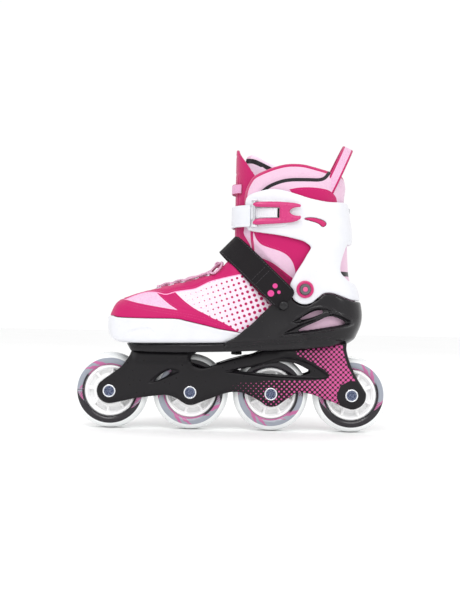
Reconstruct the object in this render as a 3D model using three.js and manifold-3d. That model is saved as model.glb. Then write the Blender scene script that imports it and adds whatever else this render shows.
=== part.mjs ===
// Children's size-adjustable inline skate for the left foot.
// Millimetres, +Z up, toe towards -X, outer side with the buckle towards -Y.
// The origin is on the ground under the middle of the wheelbase.
import * as THREE from 'three';
import { mergeVertices } from 'three/addons/utils/BufferGeometryUtils.js';
import Module from 'manifold-3d';

// ---- driving dimensions -------------------------------------------------------------------

const wheelRadius = 36;
const axlePitch = 76;
const axlesX = [-1.5, -0.5, 0.5, 1.5].map((step) => step * axlePitch);
const axleZ = wheelRadius;
const hubRadius = 23.9;
const bearing = { outer: 10.9, bore: 4.12, width: 6.9, inside: 5.2 };
const axleRadius = 3.95;
const railInside = 13.25;
const railOutside = 16.75;
const wheelClearance = 38.5;
const pivot = { x: 66.6, z: 134.5 };
const lobeRadius = 13.9;
const notchRadius = 15;
const gap = 0.3;
const linerThickness = 4;
const shellThickness = 3.4;
const cuffInside = 37.4;
const cuffThickness = 3.6;
const ankleHalf = 33.4;
const earThickness = 2.6;
const halfWidth = 45.9;
const strapWidth = 24;
const strapThickness = 2;
const collarSplit = 9;
const far = 400;

// The last: half widths and heights of the boot's own outer surface along the foot.
const foot = [
  { x: -116.2, half: 11, sole: 96, top: 103 },
  { x: -114, half: 20, sole: 89, top: 110 },
  { x: -111, half: 26, sole: 85.5, top: 118.5 },
  { x: -105, half: 32.5, sole: 82.3, top: 123 },
  { x: -94.6, half: 37, sole: 81.8, top: 127.8 },
  { x: -77.4, half: 40, sole: 82, top: 133 },
  { x: -50, half: 40.5, sole: 82.6, top: 140.5 },
  { x: -22, half: 38, sole: 83.2, top: 150.5 },
  { x: -10, half: 36.8, sole: 83.6, top: 164 },
  { x: 2, half: 35.6, sole: 84.2, top: 178 },
  { x: 24, half: 34.4, sole: 85.4, top: 180 },
  { x: 45, half: 33.6, sole: 87, top: 176 },
  { x: 62, half: 30, sole: 88.4, top: 160 },
];

// The ankle shaft: front, rear and half width of the liner at each height.
const shaft = [
  { z: 88.6, front: 28, rear: 108, half: 28 },
  { z: 93, front: 20, rear: 114.5, half: 32.4 },
  { z: 103, front: 16, rear: 119.2, half: ankleHalf },
  { z: 112, front: 15, rear: 120.2, half: ankleHalf },
  { z: 124, front: 13, rear: 117.8, half: ankleHalf },
  { z: 137, front: 11, rear: 113.6, half: ankleHalf },
  { z: 150, front: 8.5, rear: 109.4, half: ankleHalf },
  { z: 166, front: 5.5, rear: 108.4, half: 36.4 },
  { z: 190, front: 4.5, rear: 108, half: 37 },
  { z: 212, front: 4.5, rear: 104, half: 37 },
  { z: 228, front: 5, rear: 104.6, half: 36.4 },
  { z: 262, front: 7.6, rear: 101.4, half: 35 },
];

// ---- solids -------------------------------------------------------------------------------

const wasm = await Module();
wasm.setup();

function solid(geometry) {
  const bare = geometry.clone();
  bare.deleteAttribute('normal');
  bare.deleteAttribute('uv');
  const merged = mergeVertices(bare, 1e-4);
  const corners = merged.index.array;
  const kept = [];
  for (let i = 0; i < corners.length; i += 3) {
    const [a, b, c] = [corners[i], corners[i + 1], corners[i + 2]];
    if (a !== b && b !== c && c !== a) kept.push(a, b, c);
  }
  return new wasm.Manifold(new wasm.Mesh({
    numProp: 3,
    vertProperties: merged.attributes.position.array,
    triVerts: Uint32Array.from(kept),
  }));
}

function geometryOf(body) {
  const mesh = body.getMesh();
  const geometry = new THREE.BufferGeometry();
  geometry.setAttribute('position', new THREE.BufferAttribute(mesh.vertProperties, 3));
  geometry.setIndex(new THREE.BufferAttribute(mesh.triVerts, 1));
  geometry.computeVertexNormals();
  return geometry;
}

const shapeOf = (points) => new THREE.Shape(points.map(([a, b]) => new THREE.Vector2(a, b)));

function extrude(points, depth) {
  return new THREE.ExtrudeGeometry(shapeOf(points), { depth, bevelEnabled: false });
}

// An outline seen from the side, [x, z], pulled along Y.
function side(points, yLow = -far, yHigh = far) {
  return solid(extrude(points, yHigh - yLow).rotateX(Math.PI / 2).translate(0, yHigh, 0));
}

// An outline seen from above, [x, y], pulled along Z.
function plan(points, zLow, zHigh) {
  return solid(extrude(points, zHigh - zLow).translate(0, 0, zLow));
}

// An outline seen from the front, [y, z], pulled along X.
function front(points, xLow, xHigh) {
  const turn = new THREE.Matrix4().makeBasis(
    new THREE.Vector3(0, 1, 0), new THREE.Vector3(0, 0, 1), new THREE.Vector3(1, 0, 0));
  return solid(extrude(points, xHigh - xLow).applyMatrix4(turn).translate(xLow, 0, 0));
}

function box(xLow, xHigh, yLow, yHigh, zLow, zHigh) {
  const geometry = new THREE.BoxGeometry(xHigh - xLow, yHigh - yLow, zHigh - zLow);
  geometry.translate((xLow + xHigh) / 2, (yLow + yHigh) / 2, (zLow + zHigh) / 2);
  return solid(geometry);
}

// A cylinder along Y.
function rod(radius, yLow, yHigh, x, z, segments = 24) {
  const geometry = new THREE.CylinderGeometry(radius, radius, yHigh - yLow, segments);
  return solid(geometry.translate(x, (yLow + yHigh) / 2, z));
}

// A profile of [radius, y] points turned about the line through (x, z) along Y.
function turned(profile, x, z, segments) {
  const points = profile.map(([radius, y]) => new THREE.Vector2(radius, y));
  return solid(new THREE.LatheGeometry(points, segments).translate(x, 0, z));
}

// A profile of [radius, z] points turned about the line through (x, y) along Z.
function turnedUp(profile, x, y, segments) {
  const points = profile.map(([radius, z]) => new THREE.Vector2(radius, z));
  return solid(new THREE.LatheGeometry(points, segments).rotateX(Math.PI / 2).translate(x, y, 0));
}

const ring = (inner, outer, low, high) => [
  [inner, low], [outer, low], [outer, high], [inner, high], [inner, low]];

function smooth(points, steps) {
  const curve = new THREE.SplineCurve(points.map(([a, b]) => new THREE.Vector2(a, b)));
  return curve.getPoints(steps).map((point) => [point.x, point.y]);
}

function arc(x, z, radius, fromDegrees, toDegrees, steps) {
  return Array.from({ length: steps + 1 }, (_, i) => {
    const angle = THREE.MathUtils.degToRad(fromDegrees + (toDegrees - fromDegrees) * i / steps);
    return [x + radius * Math.cos(angle), z + radius * Math.sin(angle)];
  });
}

// Closed rings of equal point counts, joined ring to ring and closed at both ends.
function loft(rings) {
  const count = rings[0].length;
  const position = rings.flat().flatMap((point) => point.toArray());
  const index = [];
  const centre = (points) => points.reduce((sum, p) => sum.add(p), new THREE.Vector3())
    .divideScalar(count);
  for (let r = 0; r < rings.length - 1; r += 1) {
    for (let i = 0; i < count; i += 1) {
      const [a, b] = [r * count + i, r * count + (i + 1) % count];
      index.push(a, b, b + count, a, b + count, a + count);
    }
  }
  const firstCentre = position.length / 3;
  position.push(...centre(rings[0]).toArray(), ...centre(rings.at(-1)).toArray());
  const lastRing = (rings.length - 1) * count;
  for (let i = 0; i < count; i += 1) {
    const next = (i + 1) % count;
    index.push(firstCentre, next, i);
    index.push(firstCentre + 1, lastRing + i, lastRing + next);
  }
  const geometry = new THREE.BufferGeometry();
  geometry.setAttribute('position', new THREE.Float32BufferAttribute(position, 3));
  geometry.setIndex(index);
  return solid(geometry);
}

// ---- the boot's surfaces ------------------------------------------------------------------

const roundness = 2.6;
const aroundFoot = 12;
const aroundShaft = 18;

const superCos = (angle) => Math.sign(Math.cos(angle)) * Math.abs(Math.cos(angle)) ** (2 / roundness);
const superSin = (angle) => Math.sign(Math.sin(angle)) * Math.abs(Math.sin(angle)) ** (2 / roundness);

// The foot part, grown outwards by the given distance: a flat sole under a domed section.
function footForm(grow) {
  const sections = foot.map(({ x, half, sole, top }, i) => {
    const shift = i === 0 ? -grow : i === foot.length - 1 ? 0 : -grow * Math.max(0, 1 - i / 3);
    return Array.from({ length: aroundFoot }, (_, k) => {
      const angle = Math.PI * k / (aroundFoot - 1);
      const y = (half + grow) * superCos(angle);
      const z = sole - grow + (top - sole + 2 * grow) * superSin(angle);
      return new THREE.Vector3(x + shift, y, k % (aroundFoot - 1) === 0 ? sole - grow : z);
    });
  });
  return loft(sections);
}

// The ankle shaft, grown outwards, with the half width taken from a function of the height.
function shaftForm(grow, halfAt = ({ half }) => half) {
  const rings = shaft.map((level, i) => {
    const end = [-grow, Math.min(grow, 0) * -0.55][i] ?? (i === shaft.length - 1 ? grow : 0);
    const middle = (level.front + level.rear) / 2;
    const length = (level.rear - level.front) / 2 + grow;
    return Array.from({ length: aroundShaft }, (_, k) => {
      const angle = 2 * Math.PI * k / aroundShaft;
      return new THREE.Vector3(
        middle + length * superCos(angle), (halfAt(level) + grow) * superSin(angle), level.z + end);
    });
  });
  return loft(rings);
}

const bootForm = (grow) => footForm(grow).add(shaftForm(grow));
const wideAbove = (level) => level.half + (cuffInside - 0.6 - level.half) * Math.min(1, (level.z - 88) / 20);
const shellForm = (grow) => footForm(grow).add(shaftForm(grow, wideAbove));
const cuffForm = (grow) => shaftForm(grow, () => cuffInside - 0.6);
const skin = (form, inner, outer) => form(outer).subtract(form(inner));

// ---- nodes --------------------------------------------------------------------------------

const group = new THREE.Group();

const finish = (color, roughness, metalness = 0) => ({ color, roughness, metalness });
const blackPlastic = finish(0x2c2a2c, 0.45);
const whitePlastic = finish(0xf4f4f7, 0.35);
const pinkPlastic = finish(0xd63d82, 0.35);
const crimsonCloth = finish(0xcb2d73, 0.85);
const lilacCloth = finish(0xe8d0e1, 0.9);
const blackWebbing = finish(0x262527, 0.9);
const clearUrethane = finish(0xeaedec, 0.25);
const steel = finish(0xb9bcc2, 0.3, 0.9);

function node(name, body, look) {
  const mesh = new THREE.Mesh(geometryOf(body), new THREE.MeshStandardMaterial(look));
  mesh.name = name;
  group.add(mesh);
}

// ---- wheels, bearings and axles -----------------------------------------------------------

const hubProfile = [
  [11.2, -12], [14.5, -12], [14.5, -3.5], [21.3, -3.5], [21.3, -9], [hubRadius, -9],
  [hubRadius, 9], [21.3, 9], [21.3, 3.5], [14.5, 3.5], [14.5, 12], [11.2, 12], [11.2, -12]];

const tyreProfile = [
  [hubRadius + gap, -9.2], [27.5, -11.4], [33, -9.6], [35.6, -4.5], [wheelRadius, 0],
  [35.6, 4.5], [33, 9.6], [27.5, 11.4], [hubRadius + gap, 9.2], [hubRadius + gap, -9.2]];

const headFace = railOutside + gap;

axlesX.forEach((x, i) => {
  const number = i + 1;
  const { outer, bore, width, inside } = bearing;
  node(`tyre_${number}`, turned(tyreProfile, x, axleZ, 24), clearUrethane);
  node(`wheel_hub_${number}`, turned(hubProfile, x, axleZ, 16), whitePlastic);
  node(`bearing_outer_${number}`, turned(ring(bore, outer, -inside - width, -inside), x, axleZ, 16), steel);
  node(`bearing_inner_${number}`, turned(ring(bore, outer, inside, inside + width), x, axleZ, 16), steel);
  node(`axle_spacer_${number}`, turned(ring(bore, 5.6, -inside + gap, inside - gap), x, axleZ, 16), steel);
  node(`axle_bolt_${number}`, turned([
    [0, -headFace - 1.8], [5, -headFace - 1.8], [6.2, -headFace - 0.8], [6.2, -headFace],
    [axleRadius, -headFace], [axleRadius, 15], [2.6, 15], [2.6, 1], [0, 1]], x, axleZ, 12), steel);
  node(`axle_screw_${number}`, turned([
    [0, 4], [2.2, 4], [2.2, headFace], [6.2, headFace], [6.2, headFace + 0.8],
    [5, headFace + 1.8], [0, headFace + 1.8]], x, axleZ, 12), steel);
});

// ---- frame --------------------------------------------------------------------------------

const soleUnderside = [
  [-93.5, 74], [-52, 74], [-2, 75.4], [28, 77], [46, 78], [76, 80.2], [100, 84.2], [104, 85.4]];
const frameTop = soleUnderside.map(([x, z]) => [x, z - 0.4]);

const railOutline = [
  ...arc(-114, axleZ, 12, 270, 140, 5),
  ...smooth([[-117, 48.6], [-107, 56], [-99, 63.5], [-93.5, 73.6]], 4),
  frameTop[1],
  ...smooth([[-33, 73.9], [-38.5, 68], [-35, 61], [-27, 59.2], [-12, 63], [8, 69], [28, 75]], 8),
  ...frameTop.slice(3, 7),
  ...smooth([[107.5, 84.2], [107.4, 77], [113.5, 63], [127.6, 39]], 4),
  ...arc(114.6, axleZ, 13.4, 12, -95, 4),
  ...smooth([[98, 28.8], [78, 35.8], [66, 37.8], [55, 32.6], [46, 25.8], [38, 23.8]], 8),
  ...smooth([[30, 26.8], [8, 37.2], [-12, 33], [-28, 26.6], [-38, 23.9]], 7),
  ...smooth([[-46, 27.4], [-60, 32.8], [-80, 30.6], [-106, 25.4]], 4),
];

const railWindow = [
  ...smooth([[2, 57.2], [14, 59.6], [28, 62], [40, 64.8], [50, 66.4]], 4),
  ...smooth([[60, 65.6], [68, 62], [75, 58]], 3), [68, 55], [60, 54]];

const frontSlot = [[-71, 45.6], [-66, 51.6], [-57, 57], [-52, 56], [-56, 51.6], [-66, 46.6]];

const frameBolts = [
  { name: 'frame_bolt_front', x: -76, seat: 68, top: 81 },
  { name: 'frame_bolt_rear', x: 76, seat: 74, top: 86 }];

function frameBody() {
  const outline = (inner, outer) => side(railOutline, inner, outer);
  const rails = outline(railInside, railOutside).add(outline(-railOutside, -railInside));
  const decks = box(-100, -30, -14, 14, 60, 90)
    .add(box(-14, 14, -14, 14, 48, 90))
    .add(box(24, 112, -14, 14, 67, 90));
  const flare = front([[-16, 62], [16, 62], [24, 70], [24, 90], [-24, 90], [-24, 70]], -88, -40)
    .add(front([[-16, 68], [16, 68], [26, 77], [26, 90], [-26, 90], [-26, 77]], 44, 104));
  let body = rails.add(outline(-30, 30).intersect(decks.add(flare)));
  axlesX.forEach((x) => {
    body = body.subtract(rod(wheelClearance, -railInside, railInside, x, axleZ, 24));
    body = body.add(rod(6.4, 12.5, railInside + 0.5, x, axleZ, 8));
    body = body.add(rod(6.4, -railInside - 0.5, -12.5, x, axleZ, 8));
    body = body.subtract(rod(axleRadius + 0.2, -20, 20, x, axleZ, 12));
  });
  body = body.subtract(side(railWindow, -railOutside - 1, -railInside + 0.75));
  body = body.subtract(side(railWindow, railInside - 0.75, railOutside + 1));
  body = body.subtract(side(frontSlot, -20, 20));
  frameBolts.forEach(({ x, seat }) => {
    const boltRoom = [[0, 40], [6.3, 40], [6.3, seat], [3.4, seat], [3.4, 100], [0, 100]];
    body = body.subtract(turnedUp(boltRoom, x, 0, 16));
  });
  return body;
}

node('frame', frameBody(), blackPlastic);

frameBolts.forEach(({ name, x, seat, top }) => {
  const head = seat - gap;
  node(name, turnedUp([
    [0, head - 4], [5, head - 4], [5.4, head - 3], [5.4, head], [3, head], [3, top], [0, top],
  ], x, 0, 12), steel);
});

// ---- shell with its sole plate ------------------------------------------------------------

const soleTop = foot.filter(({ x }) => x > -110).map(({ x, sole }) => [x, sole - 0.6]);
const cupOutline = [
  [-7, 70], ...smooth([[-5, 84.5], [8, 93], [18, 101.5], [36, 119.4], [44, 126.5], [51.5, 128]], 10),
  ...arc(pivot.x, pivot.z, notchRadius, 212, 290, 6),
  ...smooth([[77, 124.2], [83, 129.6], [89, 131], [98, 128.9], [108, 125.4], [114, 124.3]], 8),
  [130, 124], [130, 70]];
const upperWindow = [[64, 108.5], [70, 111.5], [76, 114.5], [81.5, 114.5], [80, 112.6], [73, 110], [65, 107.4]];
const lowerWindow = [
  [61, 96.8], [68, 100.3], [78, 105], [86, 109], [91, 110], [104, 105.8], [104.5, 103.6],
  [88, 100.4], [73, 98]];
const solePlan = [
  [-99, 14], [-92, 26], [-78, 32.5], [-50, 35], [-20, 34], [10, 33.5], [80, 33.5], [100, 26], [106, 12]];
const earRoot = [[55, 127], [53, 106], [84, 106], [79, 127]];
const rivetX = 47;
const rivetZ = 119.3;

function shellBody() {
  const cup = skin(shellForm, 0.6, 0.6 + shellThickness).intersect(side(cupOutline));
  const plate = side([[-99.5, 81.2], ...soleTop.slice(2), [100, 90], [108, 88], ...soleUnderside.toReversed()])
    .intersect(plan([...solePlan, ...solePlan.toReversed().map(([x, y]) => [x, -y])], 60, 100))
    .subtract(shellForm(0.6));
  let body = cup.add(plate);
  const earSkin = skin((grow) => shaftForm(grow, () => ankleHalf), 0.5, 0.5 + earThickness);
  const disc = rod(notchRadius - 1.6, -far, far, pivot.x, pivot.z, 20);
  const bridge = shellForm(1.2).subtract(shaftForm(0.5, () => ankleHalf)).intersect(side(cupOutline));
  body = body.add(earSkin.intersect(disc.add(side(earRoot)))).add(bridge.intersect(side(earRoot)));
  body = body.subtract(side(upperWindow)).subtract(side(lowerWindow));
  body = body.subtract(rod(4.2, -far, far, pivot.x, pivot.z, 20));
  body = body.subtract(rod(2.3, -far, far, rivetX, rivetZ, 12));
  frameBolts.forEach(({ x }) => {
    body = body.subtract(turnedUp([[0, 60], [3.4, 60], [3.4, 100], [0, 100]], x, 0, 12));
  });
  return body.subtract(turnedUp([[0, 70], [2.5, 70], [2.5, 81], [0, 81]], sizeKnobX, 0, 12));
}

const sizeKnobX = 5;
node('shell', shellBody(), blackPlastic);
const knobProfile = [[0, 71.6], [4.4, 71.6], [5, 72.4], [5, 75], [2.2, 75], [2.2, 80.5], [0, 80.5]];
node('size_knob', turnedUp(knobProfile, sizeKnobX, 0, 12)
  .add(box(sizeKnobX - 1.2, sizeKnobX + 1.2, -8, 8, 72, 74.6)), blackPlastic);

// ---- toe box, upper and liner -------------------------------------------------------------

const capEdge = smooth([[-106, 106.4], [-98, 105], [-52, 105], [-32, 101], [-2, 94.8], [28, 89]], 9);
const toeCapOutline = [[-130, 107], ...capEdge, [28, 70], [-130, 70]];
node('toe_cap', skin(bootForm, -2.6, 0).intersect(side(toeCapOutline)), whitePlastic);

const strapFrontEdge = [[35.5, 119.5], [-9.6, 166]];
const vampOutline = [
  [-130, 107.3], ...capEdge.map(([x, z]) => [x, z + gap]), [47, 107], [47, 112], ...strapFrontEdge,
  [-30, 200], [-130, 200]];
node('vamp', skin(bootForm, -3.9, -0.9).intersect(side(vampOutline)), crimsonCloth);

const heelPart = box(52, 140, -60, 60, 70, 136.5);
const cavityInset = 8;
const linerTop = [
  [-22, 70], [-22, 150], [-10, 166], [2, 184], [pivot.x - 55, pivot.z + 44.5], [pivot.x, pivot.z + 4],
  [pivot.x + 16, pivot.z + 2], [140, pivot.z + 2], [140, 70]];
const slideTravel = 20;
// Room ahead of the ankle for the upper's narrower rear part, which slides forward over the liner.
const slideRoom = bootForm(-4.4).translate([-slideTravel, 0, 0])
  .add(box(rivetX + 2, 140, -60, 60, 60, 200));
node('boot_lower', bootForm(-4.4).add(bootForm(0).intersect(heelPart)).intersect(slideRoom)
  .subtract(bootForm(-cavityInset)).intersect(side(linerTop))
  .subtract(box(-25, 28, -13, 13, 130, 200)), lilacCloth);

const insolePlan = [
  ...smooth([
    [-101, 0], [-97, 15], [-84, 25.5], [-50, 30.5], [-10, 27.5], [30, 24.4], [70, 24.5], [92, 18], [102, 0],
  ], 14)];
const insoleUnder = [[-102, 91], [-22, 92.6], [24, 95], [62, 98], [106, 98]];
const insoleThickness = 3;
const insoleTop = insoleUnder.map(([x, z]) => [x, z + insoleThickness]).toReversed();
const insoleBoth = [...insolePlan, ...insolePlan.slice(1, -1).toReversed().map(([x, y]) => [x, -y])];
const insoleRoom = bootForm(-cavityInset - gap).add(box(-130, -23, -60, 60, 60, 110));
node('insole', plan(insoleBoth, 80, 110).intersect(side([...insoleUnder, ...insoleTop])).intersect(insoleRoom),
  lilacCloth);

// ---- cuff and ankle collar ----------------------------------------------------------------

const cuffOutline = [
  ...smooth([
    [12.5, 188.6], [10.4, 204], [10.8, 218.3], [20, 223.8], [33, 226.7], [48, 225], [72, 218], [90, 216.2],
    [101, 216.8],
  ], 12),
  [130, 216.8], [130, 177], [105.4, 175.7],
  ...smooth([[103.2, 170], [99.8, 156], [103.7, 147.2], [110.4, 142]], 5),
  [130, 139], [130, 124.6],
  ...smooth([[114, 125], [108, 126.2], [98, 129.7], [89, 131.8], [83, 130.4], [76, 125.4]], 6),
  ...arc(pivot.x, pivot.z, lobeRadius, 305, 168, 7),
  ...smooth([[53.4, 142], [58.2, 150.3], [63.6, 159], [71.4, 172.6]], 4),
  ...smooth([[68.6, 176], [56, 181], [28, 185.7], [17, 187.4]], 4)];
const leafHole = smooth([[64, 199.3], [75.8, 200.6], [85.2, 196.9], [81.9, 192.6], [74, 197]], 8);
const strapScrew = { x: 28, z: 201.6 };
const rearRivetZ = 210.5;

function cuffBody() {
  const rearRivetHole = new THREE.CylinderGeometry(2.1, 2.1, 60, 12).rotateZ(Math.PI / 2);
  const wall = skin(cuffForm, 0.6, 0.6 + cuffThickness).intersect(side(cuffOutline));
  return wall.subtract(side(leafHole))
    .subtract(rod(4.2, -far, far, pivot.x, pivot.z, 20))
    .subtract(rod(2.1, 0, far, strapScrew.x, strapScrew.z, 12))
    .subtract(solid(rearRivetHole.translate(120, 0, rearRivetZ)));
}

node('cuff', cuffBody(), whitePlastic);

const wedge = (degrees, reach) => {
  const angle = THREE.MathUtils.degToRad(degrees);
  return [pivot.x + reach * Math.cos(angle), pivot.z + reach * Math.sin(angle)];
};
const collarUnder = [[130, 240], [130, pivot.z + 3.5], [pivot.x + 16, pivot.z + 3.5]];
const collarFoot = [[pivot.x, pivot.z + 5.5], wedge(141 - collarSplit, 80)];
const outerCrest = smooth([[9, 214], [9.6, 224], [13, 232], [28, 243], [48, 249], [76, 246], [98, 242]], 10);
const innerCrest = smooth([[9, 214], [8, 252], [15, 264], [30, 259], [52, 252], [76, 247], [98, 242]], 10);
const collarSides = side([...collarFoot, ...outerCrest, ...collarUnder], -far, 0)
  .add(side([...collarFoot, ...innerCrest, ...collarUnder], 0, far));
node('ankle_collar', skin(shaftForm, -linerThickness, 0).intersect(collarSides)
  .subtract(box(-20, 26, -26, 26, 100, 300)), lilacCloth);

// ---- tongue, loops and laces --------------------------------------------------------------

const tongueFront = 1.3;
const tongueCurve = (lift) => Array.from({ length: 13 }, (_, i) => {
  const y = -25 + 50 * i / 12;
  return [tongueFront + lift + 14 * (Math.abs(y) / 22) ** 2.6, y];
});
const tonguePeak = [
  [-30, 150], [-30, 228], ...smooth([[-25, 240], [-16, 256], [0, 266], [16, 256], [25, 240]], 8),
  [30, 228], [30, 150]];
node('tongue', plan([...tongueCurve(0), ...tongueCurve(3).toReversed()], 193, 275)
  .intersect(front(tonguePeak, -30, 60)), crimsonCloth);

const loopCurve = (lift) => tongueCurve(lift - 1).filter(([, y]) => Math.abs(y) < 18);
const loopBow = smooth([
  [tongueFront + 3.4, -15], [-1.6, -8], [-2.6, 0], [-1.6, 8], [tongueFront + 3.4, 15]], 8);
const loopInside = loopCurve(0.4).toReversed().filter(([, y]) => Math.abs(y) < 12);
node('tongue_loop', plan([...loopBow, ...loopInside], 223.5, 233), lilacCloth);

const pullLean = THREE.MathUtils.degToRad(24.7);
const pullTape = 1.5;
const pullArch = [
  [-31.5, -8], [-31.5, 8], [-27, 24], [-20, 37], [-10, 45], [0, 47], [10, 45], [20, 37], [27, 24],
  [31.5, 8], [31.5, -8]];
const insideArch = pullArch.toReversed().map(([y, u]) => [
  y * (1 - pullTape / 31.5), u > 0 ? u * (1 - pullTape / 47) : u]);
function pullLoop() {
  const strap = extrude([...smooth(pullArch, 18), ...smooth(insideArch, 18)], 10.5);
  const turn = new THREE.Matrix4().makeBasis(
    new THREE.Vector3(0, 1, 0),
    new THREE.Vector3(Math.sin(pullLean), 0, Math.cos(pullLean)),
    new THREE.Vector3(Math.cos(pullLean), 0, -Math.sin(pullLean)));
  return solid(strap.applyMatrix4(turn).translate(83, 0, 230));
}
node('pull_loop', pullLoop().subtract(shaftForm(0.3)), lilacCloth);

// Height of the boot's back over the foot, at a distance along it.
function instepAt(x) {
  const i = foot.findIndex((station) => station.x > x);
  const [before, after] = [foot[i - 1], foot[i]];
  return before.top + (after.top - before.top) * (x - before.x) / (after.x - before.x);
}

const laceRows = 5;
function laceRoute() {
  const points = [];
  for (let row = 0; row < laceRows; row += 1) {
    const t = row / (laceRows - 1);
    const x = -70 + 47 * t;
    const reach = row % 2 ? 7 + 3 * t : -7 - 3 * t;
    points.push(new THREE.Vector3(x, reach, instepAt(x) + 1));
    points.push(new THREE.Vector3(x + 5, -reach, instepAt(x + 5) + 1.8));
  }
  return new THREE.CatmullRomCurve3(points, false, 'catmullrom', 0.2);
}
const laceSection = shapeOf(arc(0, 0, 1.3, 0, 270, 3));
const laceCord = new THREE.ExtrudeGeometry(laceSection, { steps: 27, extrudePath: laceRoute() });
node('laces', solid(laceCord), crimsonCloth);

// ---- instep strap -------------------------------------------------------------------------

const strapRise = THREE.MathUtils.degToRad(44.2);
const strapFoot = { x: 46, z: 127.5 };
const strapArch = (inset) => smooth([
  [-43.6 + inset, -9], [-43.4 + inset, 8], [-37 + inset, 25], [-29.5 + inset, 42], [-18 + inset * 0.8, 62],
  [-7, 71 - inset], [7, 71 - inset],
  [18 - inset * 0.8, 62], [29.5 - inset, 42], [37 - inset, 25], [43.4 - inset, 8], [43.6 - inset, -9]], 20);
const along = new THREE.Vector3(-Math.cos(strapRise), 0, Math.sin(strapRise));
const across = new THREE.Vector3(Math.sin(strapRise), 0, Math.cos(strapRise));
const wayPoint = (u, v) => [
  strapFoot.x + along.x * u + across.x * v, strapFoot.z + along.z * u + across.z * v];

// A band over the instep, between two distances in from its outer face.
function strapBody(inset, reach, deep = strapThickness) {
  const arch = extrude([...strapArch(inset), ...strapArch(inset + deep).toReversed()], 2 * reach);
  const turn = new THREE.Matrix4().makeBasis(new THREE.Vector3(0, 1, 0), along, across);
  const [x, z] = wayPoint(0, -reach);
  return solid(arch.applyMatrix4(turn).translate(x, 0, z));
}
const strapEnds = [
  [-60, 300], [-60, 150], [33.5, 120.5], [41, 119], ...arc(rivetX, rivetZ, 5, 200, 340, 5),
  [55.4, 124.5], [56, 130], [52.5, 138], [60, 160], [60, 300]];
const rivetHole = rod(2.3, -far, far, rivetX, rivetZ, 12);
node('instep_strap', strapBody(0, strapWidth / 2).intersect(side(strapEnds))
  .subtract(rivetHole).subtract(bootForm(-0.6)), blackWebbing);

const keeper = strapBody(-1.5, strapWidth / 2 + 2.4, strapThickness + 3)
  .subtract(strapBody(-0.5, strapWidth / 2 + 0.6, strapThickness + 1));
const keeperSlab = side([wayPoint(14, -18), wayPoint(14, 18), wayPoint(19.5, 18), wayPoint(19.5, -18)], 0, far);
node('strap_keeper', keeper.intersect(keeperSlab), blackPlastic);

// ---- rivets, screws and caps --------------------------------------------------------------

const outwards = (profile) => profile.map(([radius, y]) => [radius, -y]).toReversed();
const strapRivet = [[0, 36.5], [2.1, 36.5], [2.1, 43.9], [4, 43.9], [3.6, 44.9], [2.2, 45.6], [0, 45.7]];
node('strap_rivet_outer', turned(outwards(strapRivet), rivetX, rivetZ, 12), steel);
node('strap_rivet_inner', turned(strapRivet, rivetX, rivetZ, 12), steel);

const ankleRivet = [[0, 34.4], [4, 34.4], [4, 41.4], [5, 41.4], [5, 45], [4.2, halfWidth], [0, halfWidth]];
node('ankle_rivet_outer', turned(outwards(ankleRivet), pivot.x, pivot.z, 20), steel);
node('ankle_rivet_inner', turned(ankleRivet, pivot.x, pivot.z, 20), steel);
const ankleCap = [[5.3, 41.4], [8, 41.4], [8, 43], [6.6, 43.9], [5.3, 43.9], [5.3, 41.4]];
node('ankle_cap_outer', turned(outwards(ankleCap), pivot.x, pivot.z, 16), pinkPlastic);
node('ankle_cap_inner', turned(ankleCap, pivot.x, pivot.z, 16), pinkPlastic);

const rearRivetProfile = [[0, 105.2], [1.9, 105.2], [1.9, 109.3], [2.8, 109.3], [2.4, 110.4], [0, 110.6]];
const rearRivet = solid(new THREE.LatheGeometry(rearRivetProfile.map(([r, x]) => new THREE.Vector2(r, x)), 12)
  .rotateZ(-Math.PI / 2).translate(0, 0, rearRivetZ));
node('cuff_rear_rivet', rearRivet, steel);

// ---- cuff strap and buckle ----------------------------------------------------------------

const bandLow = 191.3;
const bandHigh = 212;
const buckleX = 15.9;
const hinge = { x: 18.5, y: -40.4 };
const band = box(-20, buckleX - 0.4, -far, 0, bandLow, bandHigh)
  .add(box(-20, 36, -0.1, far, bandLow, bandHigh));
node('cuff_strap', skin(cuffForm, 4.8, 6.8).intersect(band)
  .subtract(rod(2.1, 0, far, strapScrew.x, strapScrew.z, 12)), finish(0xdfe2e6, 0.5));
node('ladder_strap', skin(cuffForm, 5.9, 7.3).intersect(box(buckleX, 39, -far, 0, 199.9, 208.6)), whitePlastic);
node('cuff_strap_screw', turned(
  [[0, 37.4], [1.9, 37.4], [1.9, 42.2], [4, 42.2], [4, 43.2], [3, 44], [0, 44]], strapScrew.x, strapScrew.z, 16), steel);

const lugPlan = [[15.9, -32], [22.6, -34], [21.4, -42], [18.5, -43.2], [15.9, -42]];
const pinHole = turnedUp([[0, 180], [1.5, 180], [1.5, 230], [0, 230]], hinge.x, hinge.y, 16);
node('buckle_base', skin(cuffForm, 4.5, 5.5).intersect(box(buckleX, 50, -far, 0, 190.8, 216.4))
  .add(plan(lugPlan, 190.8, 192.4).subtract(cuffForm(4.6)))
  .add(plan(lugPlan, 214.8, 216.4).subtract(cuffForm(4.6)))
  .subtract(pinHole), whitePlastic);
node('buckle_pin', turnedUp([[0, 190.9], [1.3, 190.9], [1.3, 216.3], [0, 216.3]], hinge.x, hinge.y, 12), steel);

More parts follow.
